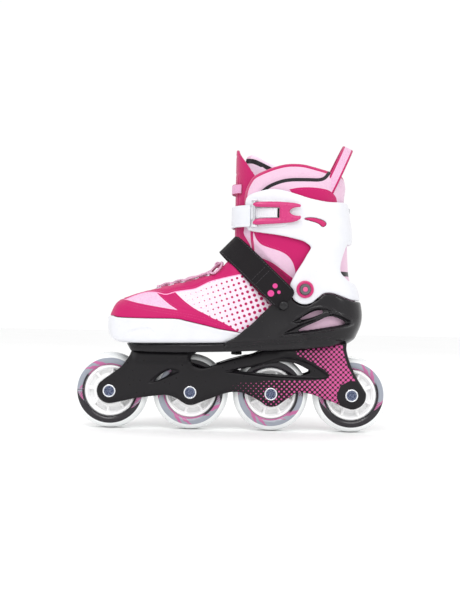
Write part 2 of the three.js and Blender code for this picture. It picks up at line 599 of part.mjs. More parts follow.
const leverOutline = [
  [15.9, 210.4], ...smooth([[16.6, 213], [24, 214.2], [40, 214.5], [57, 213.4], [61.4, 211]], 6),
  [61, 209], ...smooth([[55.8, 208.9], [50.2, 206.8], [50.2, 204], [55.8, 202.3]], 4),
  [61.6, 202.8], ...smooth([[61.9, 200.6], [57, 197], [40, 194.2], [20, 193], [16, 194.4]], 6),
  [18, 197.6], [24.7, 198.8], [40.2, 199.6], [40.2, 208.9], [24.7, 209]];
const leverPlan = [
  [15.9, -39.6], [16.3, -41.9], [18.4, -43.3], [27, -45.1], [41, -45.7], [62.2, -45.6], [62.2, -43.8], [50, -42.9],
  [41, -42.9], [27, -42.2], [21.3, -39.2], [18.4, -38]];
node('buckle_lever', side(leverOutline).intersect(plan(leverPlan, 180, 230)).subtract(pinHole), pinkPlastic);

export default group;
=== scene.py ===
"""A children's size-adjustable inline skate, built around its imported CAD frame.

Lengths in the modelling code are millimetres in the frame's own axes; meshes are made in metres.
Toe towards -X, outer side with the buckle towards -Y, +Z up.
"""

import math

import bmesh
import bpy
import numpy as np
import openvdb
from mathutils import Euler, Matrix, Vector
from mathutils.bvhtree import BVHTree


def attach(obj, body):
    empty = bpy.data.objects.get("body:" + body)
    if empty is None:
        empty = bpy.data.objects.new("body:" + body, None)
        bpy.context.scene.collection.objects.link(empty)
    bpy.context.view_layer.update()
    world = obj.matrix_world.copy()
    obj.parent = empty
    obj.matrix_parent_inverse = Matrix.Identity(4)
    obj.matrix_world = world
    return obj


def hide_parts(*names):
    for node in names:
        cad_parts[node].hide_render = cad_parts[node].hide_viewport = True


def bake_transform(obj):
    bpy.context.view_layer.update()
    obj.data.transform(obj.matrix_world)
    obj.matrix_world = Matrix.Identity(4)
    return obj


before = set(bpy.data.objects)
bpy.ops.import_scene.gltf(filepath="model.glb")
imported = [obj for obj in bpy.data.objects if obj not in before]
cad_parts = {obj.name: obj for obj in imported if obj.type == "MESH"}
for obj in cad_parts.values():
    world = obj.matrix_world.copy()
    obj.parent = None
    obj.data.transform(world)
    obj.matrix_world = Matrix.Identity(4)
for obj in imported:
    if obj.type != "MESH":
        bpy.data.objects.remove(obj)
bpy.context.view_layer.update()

MM = 0.001
OUTER, INNER = -1, 1
AXLES_X = (-114.0, -38.0, 38.0, 114.0)
AXLE_Z = 36.0
PIVOT = (66.6, 134.5)
rng = np.random.default_rng(7)


# ---- outlines ------------------------------------------------------------------------------

def curve(points, steps=8):
    """Points along a smooth curve through the given ones."""
    given = np.array(points, float)
    padded = np.vstack([2 * given[0] - given[1], given, 2 * given[-1] - given[-2]])
    t = np.linspace(0, 1, steps, endpoint=False)[:, None]
    spans = []
    for a, b, c, d in zip(padded[:-3], padded[1:-2], padded[2:-1], padded[3:]):
        spans.append(0.5 * (2 * b + (c - a) * t + (2 * a - 5 * b + 4 * c - d) * t ** 2
                            + (3 * b - a - 3 * c + d) * t ** 3))
    return np.vstack(spans + [given[-1:]])


def arc(x, z, radius, start, end, steps=16):
    angles = np.radians(np.linspace(start, end, steps + 1))
    return np.stack([x + radius * np.cos(angles), z + radius * np.sin(angles)], 1)


def outline(*parts):
    return np.vstack([np.atleast_2d(np.array(part, float)) for part in parts])


def even(points, spacing):
    """The same path with points an even distance apart."""
    path = np.array(points, float)
    reach = np.concatenate([[0], np.cumsum(np.linalg.norm(np.diff(path, axis=0), axis=1))])
    stops = np.linspace(0, reach[-1], max(2, int(round(reach[-1] / spacing)) + 1))
    return np.stack([np.interp(stops, reach, path[:, k]) for k in range(path.shape[1])], 1)


def region(points, a, b):
    """Signed distance from (a, b) to a closed outline, negative inside."""
    path = np.asarray(points, np.float32)
    shape = np.broadcast(a, b).shape
    nearest = np.full(shape, 1e9, np.float32)
    inside = np.zeros(shape, bool)
    for (pa, pb), (qa, qb) in zip(path, np.roll(path, -1, 0)):
        ea, eb = qa - pa, qb - pb
        span = ea * ea + eb * eb
        if span < 1e-9:
            continue
        t = np.clip(((a - pa) * ea + (b - pb) * eb) / span, 0, 1)
        nearest = np.minimum(nearest, (a - pa - t * ea) ** 2 + (b - pb - t * eb) ** 2)
        if abs(eb) > 1e-9:
            inside ^= ((pb > b) != (qb > b)) & (a < pa + (b - pb) * ea / eb)
    distance = np.sqrt(nearest)
    return np.where(inside, -distance, distance)


def off_line(points, a, b):
    """Distance from (a, b) to an open path."""
    path = np.asarray(points, np.float32)
    nearest = np.full(np.broadcast(a, b).shape, 1e9, np.float32)
    for (pa, pb), (qa, qb) in zip(path[:-1], path[1:]):
        ea, eb = qa - pa, qb - pb
        span = max(ea * ea + eb * eb, 1e-9)
        t = np.clip(((a - pa) * ea + (b - pb) * eb) / span, 0, 1)
        nearest = np.minimum(nearest, (a - pa - t * ea) ** 2 + (b - pb - t * eb) ** 2)
    return np.sqrt(nearest)


# ---- distance fields and the meshes made from them -------------------------------------------

def smin(a, b, blend):
    return np.minimum(a, b) - np.maximum(blend - np.abs(a - b), 0) ** 2 / (4 * blend)


def smax(a, b, blend):
    return -smin(-a, -b, blend)


def step_up(value, low, high):
    t = np.clip((value - low) / (high - low), 0, 1)
    return t * t * (3 - 2 * t)


class Grid:
    """A block of sample points in millimetres, with an even step."""

    def __init__(self, low, high, step):
        self.low = np.array(low, float)
        self.step = step
        counts = np.ceil((np.array(high) - self.low) / step).astype(int) + 1
        axes = [self.low[k] + step * np.arange(counts[k], dtype=np.float32) for k in range(3)]
        self.x = axes[0][:, None, None].astype(np.float32)
        self.y = axes[1][None, :, None].astype(np.float32)
        self.z = axes[2][None, None, :].astype(np.float32)
        self.shape = tuple(counts)

    def side(self, points):
        """Distance to an outline seen from the side."""
        return region(points, self.x[:, 0, :], self.z[0, 0, :][None, :])[:, None, :]

    def above(self, points):
        return region(points, self.x[:, :, 0], self.y[:, :, 0])[:, :, None]

    def front(self, points):
        return region(points, self.y[0, :, :], self.z[0, :, :])[None, :, :]

    def side_line(self, points):
        return off_line(points, self.x[:, 0, :], self.z[0, 0, :][None, :])[:, None, :]

    def even(self, field):
        """Rescales a field so that it grows by one per millimetre."""
        full = np.broadcast_to(field, self.shape)
        slopes = np.gradient(full, self.step)
        size = np.sqrt(slopes[0] ** 2 + slopes[1] ** 2 + slopes[2] ** 2)
        return full / np.clip(size, 0.6, 4)

    def mesh(self, name, field, flat=0.0, place=None):
        """The surface where the field is zero, as a smooth-shaded object."""
        reach = 3 * self.step
        values = np.clip(np.broadcast_to(field, self.shape), -reach, reach).astype(np.float32)
        volume = openvdb.FloatGrid(reach)
        volume.copyFromArray(np.ascontiguousarray(values))
        points, triangles, quads = volume.convertToPolygons(0.0, flat)
        points = points * self.step + self.low
        if place is not None:
            points = place(points)
        return make_object(name, points, list(quads[:, ::-1]) + list(triangles[:, ::-1]))


def make_object(name, points, faces, smooth=True):
    mesh = bpy.data.meshes.new(name)
    sizes = np.array([len(face) for face in faces])
    corners = np.concatenate([np.asarray(face) for face in faces]).astype(np.int32)
    mesh.vertices.add(len(points))
    mesh.vertices.foreach_set("co", (np.asarray(points, float) * MM).ravel())
    mesh.loops.add(len(corners))
    mesh.loops.foreach_set("vertex_index", corners)
    mesh.polygons.add(len(sizes))
    mesh.polygons.foreach_set("loop_start", np.concatenate([[0], np.cumsum(sizes)[:-1]]).astype(np.int32))
    mesh.update(calc_edges=True)
    mesh.validate()
    if smooth:
        mesh.polygons.foreach_set("use_smooth", np.ones(len(mesh.polygons), bool))
    piece = bpy.data.objects.new(name, mesh)
    bpy.context.scene.collection.objects.link(piece)
    return piece


def points_of(piece):
    flat = np.empty(len(piece.data.vertices) * 3)
    piece.data.vertices.foreach_get("co", flat)
    return flat.reshape(-1, 3) / MM


def mark(piece, **fields):
    """Stores one number per vertex under each name, for the materials to read."""
    for name, values in fields.items():
        layer = piece.data.attributes.new(name, "FLOAT", "POINT")
        layer.data.foreach_set("value", np.asarray(values, np.float32))


def settle(piece, rounds=2, factor=0.5):
    """Evens out the small steps that sampling leaves in a surface."""
    modifier = piece.modifiers.new("settle", "SMOOTH")
    modifier.iterations = rounds
    modifier.factor = factor
    apply_modifiers(piece)
    return piece


def apply_modifiers(piece):
    graph = bpy.context.evaluated_depsgraph_get()
    done = bpy.data.meshes.new_from_object(piece.evaluated_get(graph), preserve_all_data_layers=True,
                                           depsgraph=graph)
    old = piece.data
    piece.modifiers.clear()
    piece.data = done
    bpy.data.meshes.remove(old)


def place_piece(piece, body, slot, material, *nodes):
    piece.data.materials.clear()
    piece.data.materials.append(material)
    if isinstance(body, str):
        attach(piece, body)
    else:
        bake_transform(piece)
    if nodes:
        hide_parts(*nodes)
    return piece


# ---- the boot's own surfaces -----------------------------------------------------------------

class Profile:
    """Columns of sizes against one coordinate, rounded off between the given rows."""

    def __init__(self, rows, spread=3.0, step=0.5):
        rows = np.array(rows, float)
        self.at = np.arange(rows[0, 0] - 30, rows[-1, 0] + 30, step)
        reach = int(4 * spread / step)
        weights = np.exp(-0.5 * (np.arange(-reach, reach + 1) * step / spread) ** 2)
        weights /= weights.sum()
        self.columns = []
        for k in range(1, rows.shape[1]):
            plain = np.pad(np.interp(self.at, rows[:, 0], rows[:, k]), reach, mode="edge")
            self.columns.append(np.convolve(plain, weights, mode="valid"))

    def __call__(self, where):
        return [np.interp(where, self.at, column).astype(np.float32) for column in self.columns]


FOOT = Profile([
    (-119, 6, 97, 102), (-117.3, 14, 93, 106.5), (-114.6, 22, 88, 113), (-111, 28, 84.6, 119.6),
    (-107, 31, 83, 123), (-103, 33.6, 82.2, 124.8), (-93, 37.4, 81.8, 128.4), (-77, 40, 82, 133.4), (-50, 40.5, 82.6, 140.6),
    (-22, 38, 83.2, 149), (-10, 36.8, 83.6, 158.4), (2, 35.6, 84.2, 173), (24, 34.4, 85.4, 180),
    (45, 33.6, 87, 176), (62, 30, 88.4, 160)], spread=1.8)
ANKLE_HALF = 33.4
SHAFT_ROWS = [
    (88.6, 24, 112, 31), (93, 20, 114.5, 32.4), (103, 16, 119.2, ANKLE_HALF), (112, 15, 120.2, ANKLE_HALF),
    (124, 13, 117.8, ANKLE_HALF), (137, 11, 113.6, ANKLE_HALF), (150, 8.5, 109.8, ANKLE_HALF),
    (166, 5.5, 108.6, 36.4), (190, 4.5, 108, 37), (212, 4.5, 104, 37), (228, 5, 104.6, 36.4),
    (262, 7.6, 101.4, 35)]
SHAFT = Profile(SHAFT_ROWS, spread=4)
ROUND = 2.6
CUFF_HALF = 36.8
STRAP_LEAN = math.radians(44.2)
ALONG = np.array((-math.cos(STRAP_LEAN), 0, math.sin(STRAP_LEAN)))
ACROSS = np.array((math.sin(STRAP_LEAN), 0, math.cos(STRAP_LEAN)))
STRAP_FOOT = np.array((46, 0, 127.5))


def oval(u, v, half_u, half_v):
    """Rough signed distance to a rounded oblong about the origin."""
    ratio = ((np.abs(u) / half_u) ** ROUND + (np.abs(v) / half_v) ** ROUND) ** (1 / ROUND)
    ratio = np.maximum(ratio, 0.02)
    return np.sqrt(u * u + v * v) * (1 - 1 / ratio)


def foot_field(grid):
    half, sole, top = FOOT(grid.x)
    above = np.maximum(grid.z - sole, 0)
    dome = oval(grid.y, above, half, top - sole)
    body = smax(dome, sole - grid.z, 5)
    return smax(smax(body, -117.4 - grid.x, 5), grid.x - 60, 4)


def shaft_field(grid, half_width=None):
    front, rear, half = SHAFT(grid.z)
    if half_width is not None:
        half = half_width(grid.z, half)
    tube = oval(grid.x - (front + rear) / 2, grid.y, (rear - front) / 2, half)
    return smax(tube, 88.4 - grid.z, 6)


def boot_field(grid, half_width=None):
    return grid.even(smin(foot_field(grid), shaft_field(grid, half_width), 9))


def wide_shell(z, half):
    return half + (CUFF_HALF - half) * np.clip((z - 88) / 20, 0, 1)


def skin(field, inner, outer):
    return np.maximum(field - outer, inner - field)


# ---- side-view outlines shared by several pieces ----------------------------------------------

CAP_EDGE = curve([(-111, 106.6), (-106, 105.4), (-95, 105), (-76, 104.9), (-52, 105), (-42, 103.2), (-32, 101),
                  (-22, 98.8), (-12, 96.4), (-2, 94.8), (10, 92.8), (34, 88)], 6)
RAND_TOP = curve([(-116, 124.4), (-108, 123.2), (-99, 121.8), (-92, 120), (-82, 118), (-62, 114.8), (-42, 112),
                  (-32, 110), (-22, 107.7), (-12, 104.2), (-2, 99.3), (6.5, 94), (30, 80)], 6)
EYESTAY = curve([(-100, 122.6), (-92, 126.2), (-82, 129.4), (-72, 129.8), (-62, 128), (-54, 130.3), (-47, 131.6),
                 (-37, 133.2), (-32, 135), (-22, 140.3), (-12, 143.3), (-2, 145.8), (12, 149)], 6)
STRIPE_FRONT = curve([(-72, 130), (-66, 124.6), (-58, 118.2), (-48, 112)], 6)
STRIPE_REAR = curve([(-55, 131.4), (-47, 124), (-40, 118.5), (-32, 113.5), (-18, 107)], 6)
STRIPE = outline(STRIPE_FRONT, STRIPE_REAR[::-1])
TOE_PANEL = outline(curve([(-101, 121.4), (-92, 126.2), (-82, 129.4), (-72, 130)], 6), STRIPE_FRONT,
                    RAND_TOP[(RAND_TOP[:, 0] > -100) & (RAND_TOP[:, 0] < -50)][::-1])
WING_EDGE = curve([(-6.5, 82), (-5, 84.5), (3, 89), (8, 93), (13, 97.5), (18, 101.5), (25, 108.7),
                   (32, 115.7), (38, 121.6), (44, 126.5), (51.5, 128)], 6)
COLLAR_TOP_OUTER = curve([(8.4, 190), (8.4, 213), (8.8, 221), (9.9, 227), (12.4, 233), (17.2, 239.4), (28, 244.6),
                          (38, 248.2), (48, 250.6), (58, 251), (66, 250.2), (76, 247.9), (86, 245.7), (99, 243.4),
                          (106, 240.5)], 5)
COLLAR_TOP_INNER = curve([(8.4, 190), (7.6, 215), (7.2, 235), (7.4, 253), (9.6, 261.6), (14, 265.4), (18, 266), (24, 263.8),
                          (34, 259), (46, 255.4), (58, 253), (70, 250.6), (80, 247.6), (90, 244.6), (99, 242.6),
                          (106, 240.5)], 5)
BLACK_STRIPE = curve([(26, 224.6), (32.5, 229.5), (43, 233.8), (53, 235.6), (68, 236), (78, 236.2), (83.6, 238.5),
                      (87.5, 243.5)], 5)
BLACK_STRIPE_INNER = curve([(11, 258.6), (17, 259.2), (24, 257.2), (34, 253), (42, 248)], 5)
LEAF_TOP = outline(curve([(44, 224.6), (50, 226.6), (58, 228.3), (68, 229), (78, 228.6), (86, 227.4), (91, 225),
                          (95, 220.6), (96.4, 214)], 5), [(70, 212), (50, 220)])
PANEL_SIDE = outline(curve([(17, 190), (19, 186), (21.3, 180.6), (25.8, 175.6), (32.5, 172.8), (43, 169.5),
                            (50, 165.6), (54.7, 160), (57.4, 152.8), (58, 148)], 5), [(72, 152), (80, 190)])
PANEL_LOW = outline(curve([(18, 166), (27, 163), (36, 159), (44, 153.5), (51.3, 148), (55.5, 145)], 5),
                    [(62, 140), (50, 120), (20, 130), (0, 160)])
EDGE_PIPING = curve([(16.6, 192), (17, 182), (18.8, 170)], 5)

SOLE_UNDERSIDE = [(-93.5, 74), (-52, 73.8), (-2, 75.4), (28, 77), (46, 78), (76, 80.2), (92, 82.2), (104, 85.4)]
RAIL_TOP = [(x, z - 0.5) for x, z in SOLE_UNDERSIDE]
RAIL_OUTLINE = outline(
    arc(-114, AXLE_Z, 12, 270, 135),
    curve([(-121.5, 45), (-117, 48.8), (-112, 52.4), (-107, 56), (-102, 60.4), (-98.4, 64.6), (-95.4, 69), (-93.5, 73.4)]),
    RAIL_TOP[1],
    curve([(-33.4, 73.6), (-36, 71.7), (-38.3, 68.4), (-38.2, 64.6), (-35, 61.2), (-30, 59.2), (-24, 59.6), (-17, 61.8),
           (-12, 63), (-2, 66.4), (8, 69.2), (18, 72), (28, 75), (31, 76.6)]),
    RAIL_TOP[4:],
    curve([(107.6, 85), (107.2, 80), (108, 76), (110, 70), (113.5, 63), (118, 54), (123.4, 45.5), (127.4, 39)]),
    arc(114.6, AXLE_Z, 13.4, 12, -95),
    curve([(113, 22.8), (106, 25), (98, 28.8), (88, 32.2), (78, 35.8), (68, 37.8), (62, 37.2), (55, 32.6), (46, 25.9),
           (42.5, 24.2), (38, 23.6), (33.5, 24.9), (28, 28.6), (18, 34), (8, 37), (-2, 36.3), (-12, 33), (-26, 27.6),
           (-33, 24.7), (-38, 23.8), (-43, 25.2), (-50, 29.5), (-57, 32.3), (-64, 32.8), (-80, 30.7), (-92, 28.8),
           (-105, 25.6), (-110, 24.5)], 5))
RAIL_WINDOW = outline(
    curve([(1, 57), (8, 58.6), (18, 60.2), (28, 62), (38, 64.5), (46, 66.2), (53, 66.2), (60, 64.9), (67, 62.2), (75, 58)], 5),
    curve([(74.6, 56.6), (71, 55.2), (66, 54.4), (56, 54.3), (30, 55.5), (10, 56.8)], 5))
WINDOW_DISH = outline(
    curve([(-10, 56), (8, 60.4), (22, 63.4), (34, 67), (46, 70.4), (58, 70.6), (70, 67.4), (82, 61.6), (92, 55)], 5),
    curve([(93, 52.4), (86, 50.8), (60, 50.6), (30, 52), (4, 54.4)], 5))
FRONT_SLOT = outline(curve([(-72, 45.3), (-68, 50), (-62, 54.6), (-57, 56.8)], 5),
                     curve([(-55, 55), (-60, 51.4), (-67, 47.4)], 5))
SLOT_DISH = outline(curve([(-79, 43), (-70, 52), (-58, 58.4), (-47.5, 56.4)], 5),
                    curve([(-49, 54.4), (-58, 50), (-68, 45.4)], 5))

CUP_OUTLINE = outline(
    WING_EDGE, arc(PIVOT[0], PIVOT[1], 14.8, 212, 290),
    curve([(73, 121.9), (78, 124.9), (81.5, 128.1), (84.5, 130.2), (88, 131), (93, 130.5), (98, 129), (103, 127.2),
           (108, 125.5), (114, 124.4)], 5), [(130, 124), (130, 70), (-7, 70)])
UPPER_WINDOW = outline(curve([(62.4, 107.4), (69, 111.2), (75, 114.4), (80, 115.6), (84.2, 114.9)], 5),
                       curve([(82.6, 112.6), (74, 109.2), (64.4, 106.5)], 5))
UPPER_DISH = outline(curve([(54, 103.4), (66, 111.4), (76, 117), (86, 117.4), (93, 114.6)], 5),
                     curve([(88, 111.4), (74, 107.2), (62, 103.6)], 5))
LOWER_WINDOW = outline(curve([(61.4, 97), (68, 100.3), (78, 105), (86, 109), (90.4, 110), (96, 109.2), (104, 105.9)], 5),
                       curve([(104.8, 104.6), (102.4, 103), (88, 100.4), (74, 98), (62.4, 96.3)], 5))
LOWER_DISH = outline(curve([(46, 92.6), (60, 100.6), (78, 109), (88, 112.6), (98, 111.6), (110, 106.6)], 5),
                     curve([(109, 103), (90, 98.6), (66, 94.6)], 5))
SHELL_RIDGE = curve([(36, 91), (50, 91.9), (68, 94.2), (88, 97.8), (104, 101), (112, 103.4)], 5)

CUFF_OUTLINE = outline(
    curve([(13.4, 188.4), (11.6, 192), (10.6, 200), (10.2, 210), (10.6, 217), (12.6, 220.6), (17, 223), (24, 225),
           (33, 226.7), (41.3, 226.4), (48, 225), (58, 222.2), (68, 219.2), (78, 217.2), (88, 216.2), (101, 216.8)], 5),
    [(130, 217), (130, 178), (107.4, 177.4)],
    curve([(105, 174.4), (102.8, 168), (101, 162), (99.9, 156), (100.6, 150.8), (104, 147.2), (108.4, 143.6)], 5),
    [(118, 140.6), (130, 140.4), (130, 124.8)],
    curve([(114, 125.1), (108, 126.3), (98, 129.8), (93, 131.4), (88, 131.8), (84, 131), (80.8, 128.6), (77, 125.4)], 5),
    arc(PIVOT[0], PIVOT[1], 13.9, 308, 168),
    curve([(52.6, 138.6), (54.6, 143.4), (58.2, 150.3), (63.6, 159), (68, 167), (71.2, 172.2)], 5),
    curve([(71, 174.2), (68.6, 176.2), (63.6, 179), (56, 181), (43, 183.7), (28, 185.7), (18, 187.2)], 5))
LEAF_HOLE = outline(curve([(63.8, 199.2), (67, 200.6), (72, 200.9), (77, 200.2), (82, 198.7), (85.4, 196.6)], 5),
                    curve([(85, 194), (82.4, 192.4), (80.4, 193.4), (77, 195.8), (70, 197.8)], 5))


# ---- moulded parts -----------------------------------------------------------------------------

def make_frame():
    grid = Grid((-129, -27.5, 22), (131, 27.5, 87), 0.8)
    face = grid.side(RAIL_OUTLINE)
    across = np.abs(grid.y)
    post = np.maximum(step_up(-np.abs(grid.x + 65), -30, -22) * step_up(grid.z, 61, 71),
                      step_up(grid.x, 40, 56) * step_up(grid.z, 64, 78))
    dish = step_up(-grid.side(WINDOW_DISH), -0.2, 1.8)
    slot_dish = step_up(-grid.side(SLOT_DISH), -0.2, 1.5)
    shoulder = 0.9 * step_up(-face, 0.2, 5)
    ear = sum(np.exp(-((grid.x - x) ** 2 + (grid.z - AXLE_Z) ** 2) / 90) for x in AXLES_X)
    outside = 16.3 + shoulder + 6.2 * post - 2.2 * dish - 1.8 * slot_dish + 0.3 * ear
    inside = 13.0 + 5.4 * post * step_up(grid.z, 60, 64)
    rails = smax(smax(face, across - outside, 1.2), inside - across, 0.8)
    deck_zone = np.minimum(np.minimum(
        np.maximum(60 - grid.z, np.abs(grid.x + 65) - 35), np.maximum(48 - grid.z, np.abs(grid.x) - 14)),
        np.maximum(67 - grid.z, np.abs(grid.x - 68) - 44))
    deck = smax(smax(face, across - 14 - 6 * post, 1), deck_zone, 2)
    body = smin(rails, deck, 3)
    for x in AXLES_X:
        away = np.sqrt((grid.x - x) ** 2 + (grid.z - AXLE_Z) ** 2)
        body = smax(body, -smax(away - 38.5, across - 13.25, 1), 1)
        boss = smax(away - 6.6, np.abs(across - 13.4) - 0.9, 0.6)
        body = np.maximum(smin(body, boss, 0.6), 4.2 - away)
    holes = np.minimum(grid.side(RAIL_WINDOW), grid.side(FRONT_SLOT))
    body = smax(body, -np.maximum(holes, 12.4 - across), 1.2)
    for x in (-76, 76):
        shaft = np.sqrt((grid.x - x) ** 2 + grid.y ** 2)
        seat = 68 if x < 0 else 74
        body = np.maximum(body, -np.minimum(shaft - 3.5, np.maximum(shaft - 6.2, grid.z - seat)))
    piece = settle(grid.mesh("frame_rails", body, 0.01))
    points = points_of(piece)
    x, z = points[:, 0], points[:, 2]
    fade = np.clip((x + 8) / 104, 0, 1) ** 0.8
    zone = outline([(-8, 22), (-8, 38), (6, 46), (40, 48.6), (78, 49.8), (90, 50.8), (93, 55), (88, 60), (74, 68),
                    (62, 73), (60, 77), (104, 84), (104.6, 78), (110, 63), (116, 52), (121, 44), (118, 22)])
    mark(piece, dots=fade, zone=-region(zone, x, z), axle=np.hypot(x - 114, z - AXLE_Z))
    return piece


def make_shell():
    grid = Grid((-102, -44, 72), (128, 44, 150), 0.8)
    cup = boot_field(grid, wide_shell)
    ridge = np.exp(-(grid.side_line(SHELL_RIDGE) / 1.3) ** 2) * step_up(grid.x, 36, 54)
    low_dish, high_dish = grid.side(LOWER_DISH), grid.side(UPPER_DISH)
    dish = step_up(-low_dish, -0.3, 1.8) + step_up(-high_dish, -0.3, 1.8)
    lips = np.exp(-((low_dish - 0.9) / 0.8) ** 2) + np.exp(-((high_dish - 0.9) / 0.8) ** 2)
    outer = 4.0 + 1.3 * ridge - 2.0 * np.minimum(dish, 1) + 0.8 * lips
    wall = np.maximum(cup - outer, 0.6 - cup)
    wall = smax(wall, grid.side(CUP_OUTLINE), 1.6)
    windows = np.minimum(grid.side(UPPER_WINDOW), grid.side(LOWER_WINDOW))
    half, sole, _top = FOOT(grid.x)
    plan = curve([(-100, 0), (-99, 14), (-92, 26), (-78, 32.5), (-50, 35), (-20, 34.6), (10, 34), (80, 34), (100, 26),
                  (106, 12), (107, 0)], 6)
    plan = np.vstack([plan, plan[::-1] * (1, -1)])
    top = [(x, float(s) - 0.6) for x, s in ((x, FOOT(x)[1]) for x in (-99.6, -80, -50, -20, 0, 30, 60, 106))]
    plate_side = grid.side(outline(top, [(107, 87)], SOLE_UNDERSIDE[::-1]))
    plate = smax(smax(plate_side, grid.above(plan), 2), grid.z - (sole - 0.6), 0.6)
    plate = np.maximum(plate, 0.4 - cup)
    ankle = grid.even(shaft_field(grid, lambda z, half: half * 0 + ANKLE_HALF))
    away = np.sqrt((grid.x - PIVOT[0]) ** 2 + (grid.z - PIVOT[1]) ** 2)
    root = grid.side([(55, 127), (53, 106), (84, 106), (79, 127)])
    ear = smax(skin(ankle, 0.5, 3.0), np.minimum(away - 13, root), 0.8)
    bridge = np.maximum(np.maximum(cup - 1.2, 0.5 - ankle), np.maximum(root, grid.side(CUP_OUTLINE)))
    body = smin(np.minimum(wall, bridge), smin(plate, ear, 0.5), 2.0)
    body = smax(np.maximum(body, 4.2 - away), -windows, 0.9)
    rivet = np.sqrt((grid.x - 47) ** 2 + (grid.z - 119.3) ** 2)
    body = np.maximum(body, 2.3 - rivet)
    for x in (-76, 76):
        body = np.maximum(body, 3.4 - np.sqrt((grid.x - x) ** 2 + grid.y ** 2))
    return settle(grid.mesh("shell_cup", body, 0.01))


def make_cuff():
    grid = Grid((-4, -44, 118), (124, 44, 229), 0.8)
    tube = grid.even(shaft_field(grid, lambda z, half: half * 0 + CUFF_HALF))
    away = np.sqrt((grid.x - PIVOT[0]) ** 2 + (grid.z - PIVOT[1]) ** 2)
    face = grid.side(CUFF_OUTLINE)
    crown = 0.9 * step_up(-face, 0, 6) + 0.35 * step_up(10.6 - away, 0, 1.2)
    spine = 0.8 * np.exp(-(grid.y / 9) ** 2) * step_up(grid.x, 80, 95)
    leaf = grid.side(LEAF_HOLE)
    hollow = 0.7 * np.exp(-(np.maximum(leaf, 0) / 3) ** 2)
    wall = np.maximum(tube - (3.4 + crown + spine - hollow), 0.6 - tube)
    wall = smax(wall, face, 1.7)
    wall = smax(wall, -leaf, 1.0)
    wall = np.maximum(wall, 4.3 - away)
    screw = np.sqrt((grid.x - 28) ** 2 + (grid.z - 201.6) ** 2)
    wall = np.maximum(wall, np.where(grid.y > 0, 2.1 - screw, -9))
    back = np.sqrt(grid.y ** 2 + (grid.z - 210.5) ** 2)
    wall = np.maximum(wall, np.where(grid.x > 90, 2.1 - back, -9))
    return settle(grid.mesh("cuff_shell", wall, 0.01))


def make_leaves():
    """The crimson leaves let into the cuff's two sides."""
    grid = Grid((60, -43, 190), (88, 43, 203), 0.5)
    tube = cuff_field(grid)
    body = smax(skin(tube, 1.2, 3.2), grid.side(LEAF_HOLE) + 0.25, 0.5)
    return settle(grid.mesh("cuff_leaves", np.maximum(body, 12 - np.abs(grid.y)), 0.01), 1)


def make_toe_cap():
    grid = Grid((-120, -43, 79), (30, 43, 110), 0.7)
    boot = boot_field(grid)
    cap = grid.side(outline([(-130, 107)], CAP_EDGE, [(34, 60), (-130, 60)]))
    lip = 0.55 * np.exp(-((np.abs(cap) - 1.6) / 1.3) ** 2)
    tuck = 0.8 * step_up(-cap, 10, 22)
    slot = outline(curve([(-97.5, 92.4), (-88, 95), (-78, 96.6), (-70.5, 93.4)], 5), curve([(-72, 92.2), (-84, 91.6), (-96, 91)], 5))
    ribs = np.abs(((grid.x + 0.5 * grid.z) / 3.2) % 1 - 0.5) * 0.5
    mark_depth = np.where(grid.side(slot) < 0, 0.7 - ribs, 0) * (grid.y < 0)
    wall = np.maximum(boot - (lip - 0.1 - 0.3 * tuck - mark_depth), -2.6 - boot)
    wall = smax(wall, cap, 1.0)
    return settle(grid.mesh("toe_cap_moulding", smax(wall, grid.x - 27.5, 1), 0.01))


# ---- materials ---------------------------------------------------------------------------------

def rgb(red, green, blue):
    """A colour on screen, as the light it stands for."""
    parts = [value / 255 for value in (red, green, blue)]
    return tuple(c / 12.92 if c <= 0.04045 else ((c + 0.055) / 1.055) ** 2.4 for c in parts) + (1.0,)


CRIMSON = rgb(188, 14, 96)
DEEP_CRIMSON = rgb(172, 12, 84)
LILAC = rgb(220, 186, 206)
PALE_LILAC = rgb(246, 232, 243)
WHITE = rgb(222, 223, 228)
BLACK = rgb(24, 22, 25)
DOT_PINK = rgb(200, 84, 144)
LEVER_PINK = rgb(194, 44, 112)
GREY = rgb(221, 224, 229)
RING_GREY = rgb(150, 155, 166)
RING_PINK = rgb(184, 100, 148)


